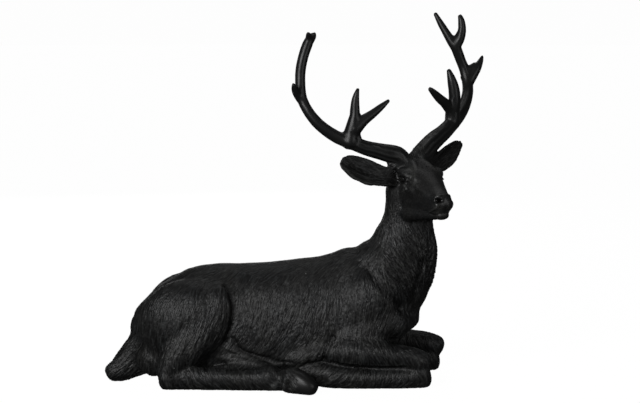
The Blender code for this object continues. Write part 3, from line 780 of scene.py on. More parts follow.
def forearm(ahead=0.0):
    return loft(stretched(FOREARM, ahead), sides=20)


def fore_cannon(ahead=0.0):
    return loft(stretched(FORE_CANNON, ahead), sides=20)


def trunk():
    """The masses that flow into each other: torso, neck, tail, thighs, shoulders and forearms."""
    pair = [ball(*mass) for mass in (THIGH, STIFLE, SEAT, SHOULDER, BREAST)]
    pair += [loft(UPPER_ARM), loft(SHANK, sides=20), round_tube(ELBOW_FOLD)]
    shells = [loft(TORSO, ends=0.35), loft(NECK), loft(TAIL)]
    shells += pair + [mirrored(s) for s in pair]
    shells += [forearm(), mirrored(forearm(LEFT_KNEE_AHEAD))]
    return fused(shells_to_mesh("trunk", shells), TRUNK_VOXEL, TRUNK_EASING)


def hind_leg():
    """The cannon with its hoof and dewclaw, and the folds of skin beside the belly."""
    folds = [round_tube(run) for run in (BELLY_FOLD, FOOT_FOLD)]
    return [loft(HIND_CANNON, sides=20), loft(HIND_HOOF, sides=20, square=2.6), ball(*DEWCLAW)] + folds


def head():
    pair = [ball(*mass) for mass in (BROW, CHEEK, NOSTRIL_WING)] + [round_tube(JAW)]
    parts = [loft(HEAD, sides=24, ends=0.5, square=2.3), ball(*CHIN), ball(*NOSE_PAD)]
    parts += pair + [mirrored(p) for p in pair]
    return [placed(p, head_frame()) for p in parts]


def antlers():
    branches = RIGHT_ANTLER + LEFT_ANTLER
    return [round_tube([(x, y, z, r * BRANCH_GIRTH) for x, y, z, r in branch]) for branch in branches]


def points_of(mesh):
    points = np.empty(len(mesh.vertices) * 3)
    mesh.vertices.foreach_get("co", points)
    return points.reshape(-1, 3)


def normals_of(mesh):
    normals = np.empty(len(mesh.vertices) * 3)
    mesh.vertex_normals.foreach_get("vector", normals)
    return normals.reshape(-1, 3)


def move_points(mesh, points):
    mesh.vertices.foreach_set("co", points.ravel())
    mesh.update()


def smooth_step(values, low, high):
    share = np.clip((values - low) / (high - low), 0, 1)
    return share * share * (3 - 2 * share)


def in_head_frame(points):
    matrix = np.array(head_frame().inverted())
    return points @ matrix[:3, :3].T + matrix[:3, 3]


def near_line(points, line, reach):
    """Which points lie in the box around a line, or within reach of it."""
    return np.all((points > line.min(axis=0) - reach) & (points < line.max(axis=0) + reach), axis=1)


def distance_to_line(points, line):
    """Each point's distance to the nearest point of a line, far points being left at 99."""
    near = near_line(points, line, 4.0)
    gaps = np.full(len(points), 99.0)
    if near.any():
        gaps[near] = np.linalg.norm(points[near][:, None, :] - line[None, :, :], axis=2).min(axis=1)
    return gaps


def lines_push(points, lines, mirror):
    """How far carved lines move each point along its normal."""
    push = np.zeros(len(points))
    for path, width, height in lines:
        for side in (1, -1) if mirror else (1,):
            line = smooth_run(np.array(path) * (1, side, 1), 8)
            push += height * np.exp(-((distance_to_line(points, line) / width) ** 2))
    return push


def antler_clearance(points):
    """How far each point lies outside the antlers' round branches."""
    clearance = np.full(len(points), 9.0)
    for run in RIGHT_ANTLER + LEFT_ANTLER:
        line = smooth_run(run, 6)
        near = near_line(points, line[:, :3], 4)
        gaps = np.linalg.norm(points[near][:, None, :] - line[None, :, :3], axis=2)
        gaps -= line[None, :, 3] * BRANCH_GIRTH
        clearance[near] = np.minimum(clearance[near], gaps.min(axis=1))
    return clearance


def antler_mask(points):
    """One on the antlers, fading out where their roots join the head."""
    off_head = smooth_step(np.abs(in_head_frame(points)[:, 1]), 1.6, 4.4)
    return (1 - smooth_step(antler_clearance(points), 0.35, 1.0)) * off_head


def hoof_mask(points):
    """One on the hind hooves, on both sides."""
    mask = np.zeros(len(points))
    for place in (points, points * (1, -1, 1)):
        hind = smooth_step(place[:, 0] + 0.5 * (place[:, 1] + 19.0), 4.6, 5.4)
        near = (place[:, 1] < -15.0) & (place[:, 0] < 16) & (place[:, 2] < 9)
        mask = np.maximum(mask, hind * near)
    return mask


def nose_mask(points):
    place = in_head_frame(points)
    tip = smooth_step(place[:, 0] - 0.25 * (place[:, 2] + 9), 17.2, 18.6)
    return tip * (place[:, 2] > -14.2) * (np.abs(place[:, 1]) < 5) * (place[:, 2] < -6)


def bare_mask(points):
    """One on the antlers, hooves and nose, which have no hair."""
    return np.maximum.reduce([antler_mask(points), hoof_mask(points), nose_mask(points)])


def face_mask(points):
    """Nearly one on the face, whose hair is too short to show."""
    place = in_head_frame(points)
    near = (place[:, 2] > -17.5) & (place[:, 2] < 2) & (np.abs(place[:, 1]) < 8)
    return 0.85 * smooth_step(place[:, 0], 0.5, 4.0) * near


def ruff_mask(points, relief):
    """One on the long hair of the neck and chest."""
    neck = smooth_step(points[:, 0], 30, 36) * smooth_step(points[:, 2], 21, 26)
    return smooth_step(relief, 1.0, 1.35) * neck


def coat_anchors():
    """All the anchors of the coat in the figure's own frame: places, directions and depths."""
    places, ways, depths = [], [], []
    turned = np.array(head_frame())[:3, :3]
    origin = np.array(head_frame())[:3, 3]
    for side in (1, -1):
        for place, way, depth in COAT:
            places.append(np.array(place) * (1, side, 1))
            ways.append(np.array(way) * (1, side, 1))
            depths.append(depth)
        for place, way, depth in HEAD_COAT:
            places.append(turned @ (np.array(place) * (1, side, 1)) + origin)
            ways.append(turned @ (np.array(way) * (1, side, 1)))
            depths.append(depth)
    for stations in (RIGHT_EAR, LEFT_EAR):
        for start, end in zip(stations[1:-1], stations[2:]):
            places.append(np.array(start[:3]))
            ways.append(np.array(end[:3]) - np.array(start[:3]))
            depths.append(0.25)
    return np.array(places, float), np.array([unit(w) for w in ways]), np.array(depths)


def lie_of_coat(points, normals):
    """The hair's direction along the skin, and its depth, at every point."""
    places, ways, depths = coat_anchors()
    flow, depth, total = np.zeros_like(points), np.zeros(len(points)), np.zeros(len(points))
    for place, way, height in zip(places, ways, depths):
        gap = ((points - place) ** 2).sum(axis=1)
        weight = np.exp(-gap / (2 * COAT_REACH**2)) + 1e-3 / (4 + gap) ** 1.5
        flow += weight[:, None] * way
        depth += weight * height
        total += weight
    flow -= (flow * normals).sum(axis=1)[:, None] * normals
    flow /= np.maximum(np.linalg.norm(flow, axis=1), 1e-9)[:, None]
    return flow, depth / total


def lively(points, flow, normals, turn, size):
    """The same directions, turned a little one way and the other from lock to lock."""
    sway = np.array([noise.noise(Vector(p) / size) for p in points]) * turn
    across = np.cross(normals, flow)
    return flow * np.cos(sway)[:, None] + across * np.sin(sway)[:, None]


def tree_of(points):
    tree = kdtree.KDTree(len(points))
    for i, place in enumerate(points.tolist()):
        tree.insert(place, i)
    tree.balance()
    return tree


def nearest(tree, points):
    """The number of the tree's point that lies nearest to each point."""
    return np.array([tree.find(p)[1] for p in points.tolist()])


def hops(points, flow, step):
    """For each point, the point that lies a step ahead of it along the hair, and the one behind."""
    tree = tree_of(points)
    return nearest(tree, points + flow * step), nearest(tree, points - flow * step)


def combed(values, ahead, behind, doublings):
    """Values smeared along the hair, so that random spots become strands."""
    both = []
    for hop in (ahead, behind):
        smeared = values.copy()
        for _ in range(doublings):
            smeared = (smeared + smeared[hop]) / 2
            hop = hop[hop]
        both.append(smeared)
    strands = both[0] + both[1]
    strands -= strands.mean()
    return strands / strands.std()


def eased(values, pairs, rounds):
    """Values averaged with their neighbours' over the mesh."""
    count = len(values)
    degree = np.maximum(np.bincount(pairs.ravel(), minlength=count), 1)
    for _ in range(rounds):
        sums = np.bincount(pairs[:, 0], values[pairs[:, 1]], count)
        sums += np.bincount(pairs[:, 1], values[pairs[:, 0]], count)
        values = (values + sums / degree) / 2
    return values


def edge_pairs(mesh):
    pairs = np.empty(len(mesh.edges) * 2, np.int32)
    mesh.edges.foreach_get("vertices", pairs)
    return pairs.reshape(-1, 2)


def smooth_figure(grain):
    """The whole figure as one fused skin, before anything is carved into it."""
    shells = [mesh_shell(trunk())]
    shells += hind_leg() + [fore_cannon()]
    shells += [mirrored(s) for s in hind_leg() + [fore_cannon(LEFT_CANNON_AHEAD)]]
    shells += head()
    body = fused(shells_to_mesh("body", shells), BODY_VOXEL, BODY_EASING)
    shells = [mesh_shell(body), round_tube(EAR_ROOT)] + antlers()
    shells += [ear(RIGHT_EAR, RIGHT_EAR_FACES), ear(LEFT_EAR, LEFT_EAR_FACES)]
    return fused(shells_to_mesh("figure", shells), grain, FIGURE_EASING)


def face_refined(mesh):
    """The same skin with a finer mesh on the face."""
    work = bmesh.new()
    work.from_mesh(mesh)
    places = in_head_frame(points_of(mesh))
    inside = (places[:, 0] > 0.0) & (np.abs(places[:, 1]) < 8.5)
    inside &= (places[:, 2] > -18) & (places[:, 2] < 1.6)
    inside &= antler_mask(points_of(mesh)) < 0.5
    work.verts.ensure_lookup_table()
    chosen = [e for e in work.edges if inside[e.verts[0].index] and inside[e.verts[1].index]]
    bmesh.ops.subdivide_edges(work, edges=chosen, cuts=1, use_grid_fill=True)
    bmesh.ops.triangulate(work, faces=[f for f in work.faces if len(f.verts) > 4])
    work.to_mesh(mesh)
    work.free()
    return mesh


def spot(points, middle, radii):
    """One at the middle of a round patch on either side of the head, fading outwards."""
    place = in_head_frame(points)
    place[:, 1] = -np.abs(place[:, 1])
    return np.exp(-(((place - middle) / radii) ** 2).sum(axis=1))


def nose_bridge(points):
    """One on the flat front of the face, between the brows' edges, where painted shade darkens it."""
    place = in_head_frame(points)
    inside = smooth_step(2.3 + 0.25 * place[:, 0] - np.abs(place[:, 1]), -0.3, 0.5)
    inside *= smooth_step(place[:, 0], 0.5, 2.5)
    inside *= 1 - smooth_step(place[:, 0], 12, 16)
    return inside * (place[:, 2] > -9)


def carve_face(points):
    """How far the eyes, lids, brows, nostrils and lips move each point, on both sides of the face."""
    places = in_head_frame(points)
    on_head = (places[:, 0] > -2) & (np.abs(places[:, 1]) < 10)
    on_head &= (places[:, 2] > -20) & (places[:, 2] < 3)
    push = np.zeros(len(points))
    local = places[on_head]
    # The nose is turned a little on the head, so the left nostril lies further back.
    local[:, 0] += smooth_step(local[:, 1], 0.5, 2.0) * smooth_step(local[:, 0], 12, 16)
    local[:, 1] = -np.abs(local[:, 1])
    moved = np.zeros(len(local))
    for middle, radii, height in FACE_DENTS:
        gap = (((local - middle) / radii) ** 2).sum(axis=1)
        moved += height * np.exp(-gap)
    middle, (long, tall), height = EYE
    slant = unit(np.array((5.4, 1.1, 0.3)))
    offset = local - middle
    along = offset @ slant
    beside = np.linalg.norm(offset - np.outer(along, slant), axis=1)
    inside = np.clip(1 - (along / long) ** 2 - (beside / tall) ** 2, 0, 1)
    moved += height * np.sqrt(inside)
    moved += lines_push(local, FACE_LINES, mirror=False)
    moved *= 1 - 0.6 * smooth_step(places[on_head][:, 1], 0.5, 2.0) * smooth_step(local[:, 0], 15, 17)
    push[on_head] = moved
    return push


def antler_flutes(points):
    """Long shallow flutes along the antlers' lower beams, fading towards the points."""
    push = np.zeros(len(points))
    for run, reach in ((RIGHT_ANTLER[0], 28.0), (LEFT_ANTLER[0], 26.0)):
        line = smooth_run(run, 6)
        middles = line[:, :3]
        along = tangents(middles)
        travelled = np.concatenate([[0], np.cumsum(np.linalg.norm(np.diff(middles, axis=0), axis=1))])
        near = near_line(points, middles, 3)
        offsets = points[near][:, None, :] - middles[None, :, :]
        gaps = np.linalg.norm(offsets, axis=2)
        nearest = gaps.argmin(axis=1)
        rows = np.arange(len(nearest))
        out = offsets[rows, nearest]
        lateral = np.cross(along[nearest], (0.0, 0.0, 1.0))
        rise = np.cross(lateral, along[nearest])
        angle = np.arctan2((out * rise).sum(axis=1), (out * lateral).sum(axis=1))
        where = travelled[nearest]
        wander = np.array([noise.noise(Vector((w * 0.22, 3.1, 0.7))) for w in where])
        waves = np.cos(FLUTES * angle + 2.4 * wander + 0.08 * where)
        fade = smooth_step(where, 1.0, 4.0) * (1 - smooth_step(where, 6.0, reach))
        close = 1 - smooth_step(gaps[rows, nearest] - line[nearest, 3] * BRANCH_GIRTH, 0.4, 1.0)
        push[near] += FLUTE_DEPTH * waves * fade * close
    return push


def carve_coat(mesh, depth):
    """Carve the coat, the creases and the face, and return the painted shade and light at each point:
    darker where it ends up deep, paler where high, with painted patches besides.
    """
    points, normals, pairs = points_of(mesh), normals_of(mesh), edge_pairs(mesh)
    flow, relief = lie_of_coat(points, normals)
    flow = lively(points, flow, normals, LOCK_TURN, LOCK_SIZE)
    ahead, behind = hops(points, flow, HAIR_STEP)
    fine = np.random.default_rng(FINE_SEED).standard_normal(len(points))
    fine = combed(eased(fine, pairs, 1), ahead, behind, 2)
    broad = np.random.default_rng(BROAD_SEED).standard_normal(len(points))
    broad = combed(eased(broad, pairs, 3), ahead, behind, 4)
    ruff = ruff_mask(points, relief)
    strands = 0.85 * fine + (0.35 + 0.35 * ruff) * broad
    bare = bare_mask(points)
    hair = depth * relief * (1 - bare)
    carved = lines_push(points, CREASES, mirror=True) * (1 - bare)
    carved += lines_push(points, HOOF_LINES, mirror=True)
    carved += lines_push(points, EAR_LINES, mirror=False)
    flutes = antler_flutes(points)
    carved += carve_face(points) + flutes
    # Behind the eye the skin is left plain and is painted darker as shade.
    plain_and_shaded = spot(points, *PLAIN_SHADED_HOLLOW)
    push = (hair * np.clip(strands, -2.4, 2.4) + carved) * (1 - plain_and_shaded)
    move_points(mesh, points + normals * push[:, None])
    # The hair's relief is painted into the colour as shade in its grooves and light on its ridges, and the
    # ruff is painted darker as shade.
    shade = (strands * np.minimum(relief, 1.0) - 0.9 * ruff) * (1 - bare)
    # Painted shade in the carved lines' grooves, the eye's ring and the antlers' flutes, and a painted
    # highlight on their ridges.
    shade += GROOVE_SHADE * np.clip(carved + flutes, -0.7, 0.4)
    # A painted highlight on the brow beside the eye, painted shade on the face's front and painted shade
    # in the hollow behind the eye.
    shade += 1.6 * spot(points, *PAINTED_BROW_HIGHLIGHT) - 1.0 * nose_bridge(points) - 3 * plain_and_shaded
    # The hind dewclaw is painted paler.
    middle, reach = BRIGHT_DEWCLAW
    gap = np.linalg.norm(points * (1, 0, 1) - np.abs(points * (0, 1, 0)) - middle, axis=1)
    shade += 3 * np.exp(-((gap / reach) ** 2))
    return np.clip(shade, -3.5, 2.5)


def thinned(mesh, facets):
    """The same skin with fewer facets, kept where it curves most."""
    triangles = sum(len(p.vertices) - 2 for p in mesh.polygons)

    def add(modifiers):
        thin = modifiers.new("thin", "DECIMATE")
        thin.ratio = min(1.0, facets / triangles)
        thin.use_collapse_triangulate = True

    return evaluated(mesh, add)


def stood_flat(mesh):
    """Cut the underside flat, so that the figure rests on it, and close the cut."""
    work = bmesh.new()
    work.from_mesh(mesh)
    everything = work.verts[:] + work.edges[:] + work.faces[:]
    bmesh.ops.bisect_plane(
        work, geom=everything, dist=1e-5, plane_co=(0, 0, REST_LEVEL), plane_no=(0, 0, 1), clear_inner=True
    )
    rim = [edge for edge in work.edges if edge.is_boundary]
    caps = bmesh.ops.holes_fill(work, edges=rim, sides=0)["faces"]
    for face in caps:
        for edge in face.edges:
            edge.smooth = False
    bmesh.ops.triangulate(work, faces=[face for face in work.faces if len(face.verts) > 3])
    bmesh.ops.recalc_face_normals(work, faces=work.faces)
    for face in work.faces:
        face.smooth = True
    work.to_mesh(mesh)
    work.free()


def hair_layout(mesh):
    """A UV map in patches: U runs along the hair and V across it, both in shares."""
    points, normals = points_of(mesh), normals_of(mesh)
    flow, _ = lie_of_coat(points, normals)
    chance = np.random.default_rng(PATCH_SEED)
    seeds = chance.choice(len(points), PATCHES, replace=False)
    corners = np.empty(len(mesh.loops), np.int32)
    mesh.loops.foreach_get("vertex_index", corners)
    triangles = corners.reshape(-1, 3)
    middles = points[triangles].mean(axis=1)
    facing = normals[triangles].mean(axis=1)
    near = np.hstack([middles, facing * PATCH_FACING]).astype(np.float32)
    far = np.hstack([points[seeds], normals[seeds] * PATCH_FACING]).astype(np.float32)
    patch = np.empty(len(near), np.int32)
    for start in range(0, len(near), BLOCK):
        block = near[start : start + BLOCK]
        gaps = (far**2).sum(axis=1)[None, :] - 2 * block @ far.T
        patch[start : start + BLOCK] = gaps.argmin(axis=1)
    patch = np.repeat(patch, 3)
    chosen = seeds[patch]
    offset = points[corners] - points[chosen]
    along = flow[chosen]
    across = np.cross(normals[chosen], along)
    shift = chance.uniform(0, 400, (len(seeds), 2))[patch]
    u = (offset * along).sum(axis=1) + shift[:, 0]
    v = (offset * across).sum(axis=1) + shift[:, 1]
    layout = mesh.uv_layers.new(name="hair")
    layout.data.foreach_set("uv", np.column_stack([u, v]).ravel())


def add_values(mesh, name, values):
    attribute = mesh.attributes.new(name=name, type="FLOAT", domain="POINT")
    attribute.data.foreach_set("value", values.astype(np.float32))


def nearest_values(points, source, values):
    return values[nearest(tree_of(source), points)]


def to_metres(mesh):
    """Give the figure its real size and place, inside the solid's own corners."""
    points = (points_of(mesh) - np.array(FOOTING)) * SHARE
    low, high = points.min(axis=0), points.max(axis=0)
    solid_low = np.array(SOLID_LOW) + (INSET, INSET, 0)
    solid_high = np.array(SOLID_HIGH) - INSET
    fit = (solid_high - solid_low) / (high - low)
    move_points(mesh, (points - low) * fit + solid_low)


def socket(node, name, value):
    node.inputs[name].default_value = value


class Finish:
    """Makes and joins a material's nodes."""

    def __init__(self, name):
        self.material = bpy.data.materials.new(name)
        self.material.use_nodes = True
        self.tree = self.material.node_tree
        self.surface = self.tree.nodes["Principled BSDF"]

    def node(self, kind, **settings):
        made = self.tree.nodes.new(kind)
        for name, value in settings.items():
            setattr(made, name, value)
        return made

    def join(self, source, target):
        self.tree.links.new(source, target)

    def feed(self, value, target):
        """Join another node's output to a socket, or set the socket to a plain value."""
        if isinstance(value, bpy.types.NodeSocket):
            self.join(value, target)
        else:
            target.default_value = value

    def reckon(self, operation, first, second):
        made = self.node("ShaderNodeMath", operation=operation)
        self.feed(first, made.inputs[0])
        self.feed(second, made.inputs[1])
        return made.outputs[0]

    def values(self, name):
        return self.node("ShaderNodeAttribute", attribute_name=name).outputs["Fac"]

    def spots(self, coordinates, scale, detail=2.0, roughness=0.5, distortion=0.0):
        made = self.node("ShaderNodeTexNoise")
        socket(made, "Scale", scale)
        socket(made, "Detail", detail)
        socket(made, "Roughness", roughness)
        socket(made, "Distortion", distortion)
        self.join(coordinates, made.inputs["Vector"])
        return made.outputs["Fac"]

    def ramp(self, value, stops):
        made = self.node("ShaderNodeValToRGB")
        elements = made.color_ramp.elements
        for _ in range(len(stops) - 2):
            elements.new(0.5)
        for element, (position, colour) in zip(elements, stops):
            element.position = position
            element.color = (*colour, 1)
        self.join(value, made.inputs["Fac"])
        return made.outputs["Color"]

    def blend(self, factor, first, second, kind="MIX"):
        made = self.node("ShaderNodeMix", data_type="RGBA", blend_type=kind)
        self.feed(factor, made.inputs["Factor"])
        for name, value in (("A", first), ("B", second)):
            target = [s for s in made.inputs if s.name == name and s.type == "RGBA"][0]
            self.feed((*value, 1) if isinstance(value, tuple) else value, target)
        return [s for s in made.outputs if s.type == "RGBA"][0]


def black_iron(look):
    """Satin black iron, with painted shade in the grooves and a painted highlight on the ridges; glossier
    where it is bare.
    """
    iron = Finish("black_iron")
    surface = iron.surface
    place = iron.node("ShaderNodeTexCoord").outputs["Object"]
    hair = iron.node("ShaderNodeUVMap", uv_map="hair").outputs["UV"]
    gloss = iron.values("gloss")
    face = iron.values("face")
    ruff = iron.values("ruff")
    strand = iron.values("strand")

    def stretched(u, v):
        mapping = iron.node("ShaderNodeMapping")
        socket(mapping, "Scale", (u, v, 1))
        iron.join(hair, mapping.inputs["Vector"])
        return mapping.outputs["Vector"]

    fine = iron.spots(stretched(0.40, 2.3), 1.0, detail=1.4, roughness=0.6, distortion=0.2)
    coat = iron.reckon("SUBTRACT", 1.0, iron.reckon("MINIMUM", 1.0, iron.reckon("MAXIMUM", gloss, face)))
    deeper = iron.reckon("ADD", 1.0, iron.reckon("MULTIPLY", ruff, 1.1))
    coat = iron.reckon("MULTIPLY", coat, deeper)
    wave = iron.reckon("MULTIPLY", iron.reckon("SUBTRACT", fine, 0.5), coat)
    grain = iron.spots(place, 520, detail=3.0, roughness=0.6)
    blotch = iron.spots(place, 22, detail=3.0, roughness=0.6)

    # The carving's painted shade and light, and painted highlights and shade along the fine strands, pick
    # the colour between the grooves' and the ridges' colours; the face's pores add real grain.
    painted_light_and_pores = iron.reckon("ADD", iron.reckon("MULTIPLY", strand, 0.17), iron.reckon("MULTIPLY", wave, 1.9))
    pores = iron.reckon("SUBTRACT", grain, 0.5)
    pores = iron.reckon("MULTIPLY", pores, iron.reckon("MULTIPLY", face, 2.0))
    painted_light_and_pores = iron.reckon("ADD", iron.reckon("ADD", painted_light_and_pores, 0.5), pores)
    colour = iron.ramp(painted_light_and_pores, ((0.15, look.groove_painted_shade[:]), (0.55, look.colour[:]), (0.95, look.ridge_painted_highlight[:])))
    tint = iron.ramp(blotch, ((0.35, (0.80, 0.82, 0.84)), (0.7, (1.16, 1.13, 1.06))))
    toned = iron.blend(1.0, colour, tint, kind="MULTIPLY")

    dust = iron.node("ShaderNodeTexVoronoi")
    socket(dust, "Scale", 62.0)
    iron.join(place, dust.inputs["Vector"])
    speck = iron.reckon("LESS_THAN", dust.outputs["Distance"], 0.045)
    chosen = iron.reckon("GREATER_THAN", dust.outputs["Color"], 0.86)
    speck = iron.reckon("MULTIPLY", speck, chosen)
    iron.join(iron.blend(speck, toned, look.dust[:]), surface.inputs["Base Color"])

    rough = iron.reckon("ADD", iron.reckon("MULTIPLY", blotch, 0.16), look.roughness - 0.08)
    rough = iron.reckon("SUBTRACT", rough, iron.reckon("MULTIPLY", gloss, look.gloss))
    rough = iron.reckon("SUBTRACT", rough, iron.reckon("MULTIPLY", wave, 0.12))
    iron.join(rough, surface.inputs["Roughness"])
    socket(surface, "Metallic", 0.0)
    socket(surface, "Specular IOR Level", look.shine)

    strands = iron.reckon("MULTIPLY", wave, look.strand_height)
    height = iron.reckon("ADD", strands, iron.reckon("MULTIPLY", grain, look.grain_height))
    bump = iron.node("ShaderNodeBump")
    socket(bump, "Strength", 1.0)
    socket(bump, "Distance", 1.0)
    iron.join(height, bump.inputs["Height"])
    iron.join(bump.outputs["Normal"], surface.inputs["Normal"])
    return iron.material


def pale_floor(look):
    """A smooth pale studio floor with a trace of mottling."""
    floor = Finish("pale_floor")
    place = floor.node("ShaderNodeTexCoord").outputs["Object"]
    mottle = floor.spots(place, 6.0, 3.0)
    paler = tuple(min(1.0, c * 1.02) for c in look.floor[:])
    colour = floor.ramp(mottle, ((0.3, look.floor[:]), (0.7, paler)))
    floor.join(colour, floor.surface.inputs["Base Color"])
    socket(floor.surface, "Emission Color", (1, 1, 1, 1))
    socket(floor.surface, "Emission Strength", look.floor_glow)
    socket(floor.surface, "Roughness", 0.8)
    socket(floor.surface, "Specular IOR Level", 0.1)
    return floor.material


class StagSizes(bpy.types.PropertyGroup):
    """How finely the figure is modelled and how deeply its coat is carved."""

    grain: bpy.props.FloatProperty(
        name="Skin grain", description="Edge of the mesh's squares before thinning, in shares",
        default=0.27, min=0.2, max=1,
    )
    coat_depth: bpy.props.FloatProperty(
        name="Coat depth", description="Height of the carved hair, in shares",
        default=0.100, min=0, max=0.4,
    )
    facets: bpy.props.IntProperty(
        name="Facets", description="Triangles of the finished figure",
        default=190000, min=5000, max=198000,
    )


class IronLook(bpy.types.PropertyGroup):
    """The black iron's colours and sheen."""

    colour: bpy.props.FloatVectorProperty(
        name="Iron", description="The iron's black",
        subtype="COLOR", size=3, default=(0.0100, 0.0102, 0.0104), min=0, max=1,
    )
    # The colour down between the hairs is painted shade.
    groove_painted_shade: bpy.props.FloatVectorProperty(
        name="Grooves", description="Colour down between the hairs",
        subtype="COLOR", size=3, default=(0.0015, 0.0015, 0.0015), min=0, max=1,
    )
    # The paler colour of the ridges is a painted highlight.
    ridge_painted_highlight: bpy.props.FloatVectorProperty(
        name="Ridges", description="Colour of the rubbed ridges",
        subtype="COLOR", size=3, default=(0.030, 0.031, 0.031), min=0, max=1,
    )
    dust: bpy.props.FloatVectorProperty(
        name="Dust", description="Colour of the specks of dust",
        subtype="COLOR", size=3, default=(0.35, 0.35, 0.34), min=0, max=1,
    )
    roughness: bpy.props.FloatProperty(
        name="Roughness", description="Roughness of the coat",
        default=0.46, min=0.05, max=1, subtype="FACTOR",
    )
    gloss: bpy.props.FloatProperty(
        name="Bare gloss", description="How much smoother the antlers, hooves and nose are",
        default=0.10, min=0, max=0.4,
    )
    shine: bpy.props.FloatProperty(
        name="Shine", description="Strength of the reflections",
        default=0.30, min=0, max=1, subtype="FACTOR",
    )
    strand_height: bpy.props.FloatProperty(
        name="Strand height", description="Height of the finest strands",
        default=0.0020, min=0, max=0.01, unit="LENGTH",
    )
    grain_height: bpy.props.FloatProperty(
        name="Cast grain height", description="Height of the iron's grain",
        default=0.00006, min=0, max=0.01, unit="LENGTH",
    )


class StudioLook(bpy.types.PropertyGroup):
    """The camera, the floor and the lamps."""

    aim: bpy.props.FloatVectorProperty(
        name="Aim", description="What the camera looks at", subtype="TRANSLATION", unit="LENGTH", size=3,
        default=[(place - foot) * SHARE for place, foot in zip(AIM, FOOTING)],
    )
    distance: bpy.props.FloatProperty(
        name="Distance", description="From the camera to its aim",
        default=CAMERA_DISTANCE * SHARE, min=0.5, unit="LENGTH",
    )
    elevation: bpy.props.FloatProperty(
        name="Elevation", description="How far the camera looks down",
        default=math.radians(6.5), subtype="ANGLE",
    )
    lens: bpy.props.FloatProperty(
        name="Lens", description="Focal length in millimetres", default=95.2, min=10, max=300
    )
    floor: bpy.props.FloatVectorProperty(
        name="Floor", description="The floor's colour",
        subtype="COLOR", size=3, default=(0.03, 0.03, 0.03), min=0, max=1,
    )
    floor_glow: bpy.props.FloatProperty(
        name="Floor glow", description="Light that the floor gives off, as a lit backdrop does",
        default=0.985, min=0, max=2,
    )
    air: bpy.props.FloatProperty(
        name="Air", description="Soft light from all round", default=0.05, min=0, max=2
    )
    key: bpy.props.FloatProperty(
        name="Key lamp", description="Power of the main soft lamp, in watts", default=84, min=0
    )
    fill: bpy.props.FloatProperty(
        name="Fill lamp", description="Power of the fill lamp, in watts", default=15, min=0
    )
    top: bpy.props.FloatProperty(
        name="Top lamp", description="Power of the lamp above, in watts", default=7, min=0
    )
    rear: bpy.props.FloatProperty(
        name="Rear lamp", description="Power of the lamp behind, in watts", default=7, min=0
    )


class MakeStag(bpy.types.Operator):
    """Model the stag, carve its coat and finish it in black iron"""

    bl_idname = "iron_stag.make_stag"
    bl_label = "Stag"
    bl_options = {"REGISTER", "UNDO"}

    def execute(self, context):
        sizes = context.scene.stag_sizes
        mesh = face_refined(smooth_figure(sizes.grain))
        strands = carve_coat(mesh, sizes.coat_depth)
        source = points_of(mesh)
        mesh = thinned(mesh, sizes.facets)
        stood_flat(mesh)
        points = points_of(mesh)
        # The painted shade and light from the carving, carried over to the thinned mesh.
        add_values(mesh, "strand", nearest_values(points, source, strands))
        wet = 2.5 * spot(points, EYE[0], WET_EYE) + 0.6 * nose_mask(points)
        add_values(mesh, "gloss", bare_mask(points) + wet)
        add_values(mesh, "face", face_mask(points))
        add_values(mesh, "ruff", ruff_mask(points, lie_of_coat(points, normals_of(mesh))[1]))
        hair_layout(mesh)
        to_metres(mesh)
        mesh.materials.clear()
        mesh.materials.append(black_iron(context.scene.iron_look))
        mesh.name = "carved_stag"
        piece = bpy.data.objects.new("carved_stag", mesh)
        context.scene.collection.objects.link(piece)
        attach(piece, "root")
        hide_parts("stag")
        print("carved_stag", len(mesh.polygons), "triangles")
        return {"FINISHED"}


def soft_lamp(name, place, size, power):
    lamp = bpy.data.lights.new(name, "AREA")
    lamp.shape = "RECTANGLE"
    lamp.size, lamp.size_y = size
    lamp.energy = power
    holder = bpy.data.objects.new(name, lamp)
    holder.location = place
    holder.rotation_euler = (Vector(LAMPS_AIM) - Vector(place)).to_track_quat("-Z", "Y").to_euler()
    bpy.context.scene.collection.objects.link(holder)


def studio_air(look):
    """White where it is looked at, and dim where it lights the figure."""
    world = bpy.data.worlds.new("studio_air")
    world.use_nodes = True
    tree = world.node_tree
    dim = tree.nodes["Background"]
    socket(dim, "Strength", look.air)
    socket(dim, "Color", (1, 1, 1, 1))
    white = tree.nodes.new("ShaderNodeBackground")
    socket(white, "Color", (1, 1, 1, 1))
    socket(white, "Strength", look.floor_glow)
    path = tree.nodes.new("ShaderNodeLightPath")
    either = tree.nodes.new("ShaderNodeMixShader")
    tree.links.new(path.outputs["Is Camera Ray"], either.inputs["Fac"])
    tree.links.new(dim.outputs["Background"], either.inputs[1])
    tree.links.new(white.outputs["Background"], either.inputs[2])
    tree.links.new(either.outputs["Shader"], tree.nodes["World Output"].inputs["Surface"])
    return world


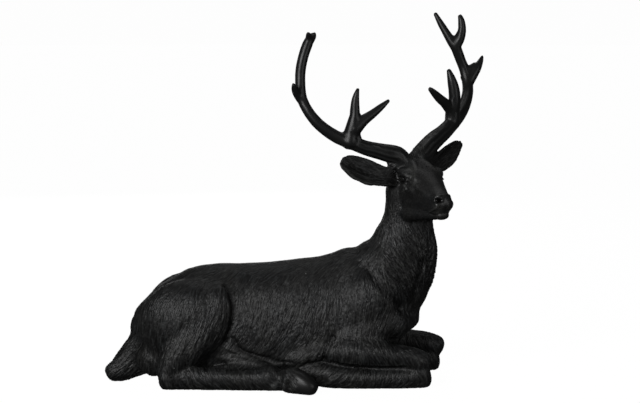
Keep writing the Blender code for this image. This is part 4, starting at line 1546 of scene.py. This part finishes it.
class MakeStudio(bpy.types.Operator):
    """Set up the pale floor, the soft lamps and the camera"""

    bl_idname = "iron_stag.make_studio"
    bl_label = "Studio"
    bl_options = {"REGISTER", "UNDO"}

    def execute(self, context):
        look = context.scene.studio_look
        mesh = bpy.data.meshes.new("studio_floor")
        work = bmesh.new()
        bmesh.ops.create_circle(work, cap_ends=True, segments=96, radius=FLOOR_RADIUS)
        work.to_mesh(mesh)
        work.free()
        floor = bpy.data.objects.new("studio_floor", mesh)
        mesh.materials.append(pale_floor(look))
        context.scene.collection.objects.link(floor)
        floor.visible_glossy = False
        floor.visible_diffuse = False

        for name, (place, size) in LAMPS.items():
            soft_lamp(name + "_lamp", place, size, getattr(look, name))

        context.scene.world = studio_air(look)
        context.scene.view_settings.view_transform = "Standard"

        back = Vector((0, -math.cos(look.elevation), math.sin(look.elevation)))
        camera = bpy.data.objects.new("studio_camera", bpy.data.cameras.new("studio_camera"))
        camera.location = Vector(look.aim) + back * look.distance
        camera.rotation_euler = (-back).to_track_quat("-Z", "Y").to_euler()
        camera.data.lens = look.lens
        camera.data.sensor_width = 36
        camera.data.clip_end = 200
        context.scene.collection.objects.link(camera)
        context.scene.camera = camera
        return {"FINISHED"}


class StagPanel(bpy.types.Panel):
    """The stag's sizes and finishes, and the buttons that make it"""

    bl_idname = "VIEW3D_PT_iron_stag"
    bl_label = "Iron Stag"
    bl_space_type = "VIEW_3D"
    bl_region_type = "UI"
    bl_category = "Iron Stag"

    def draw(self, context):
        layout = self.layout
        for title, group, button in (
            ("Figure", context.scene.stag_sizes, MakeStag),
            ("Iron", context.scene.iron_look, None),
            ("Studio", context.scene.studio_look, MakeStudio),
        ):
            box = layout.box()
            box.label(text=title)
            for name in group.__annotations__:
                box.prop(group, name)
            if button:
                box.operator(button.bl_idname)


CLASSES = (StagSizes, IronLook, StudioLook, MakeStag, MakeStudio, StagPanel)


def register():
    for kind in CLASSES:
        bpy.utils.register_class(kind)
    bpy.types.Scene.stag_sizes = bpy.props.PointerProperty(type=StagSizes)
    bpy.types.Scene.iron_look = bpy.props.PointerProperty(type=IronLook)
    bpy.types.Scene.studio_look = bpy.props.PointerProperty(type=StudioLook)


def unregister():
    del bpy.types.Scene.studio_look
    del bpy.types.Scene.iron_look
    del bpy.types.Scene.stag_sizes
    for kind in reversed(CLASSES):
        bpy.utils.unregister_class(kind)


def main():
    register()
    bpy.ops.iron_stag.make_stag()
    bpy.ops.iron_stag.make_studio()


if __name__ == "__main__":
    main()
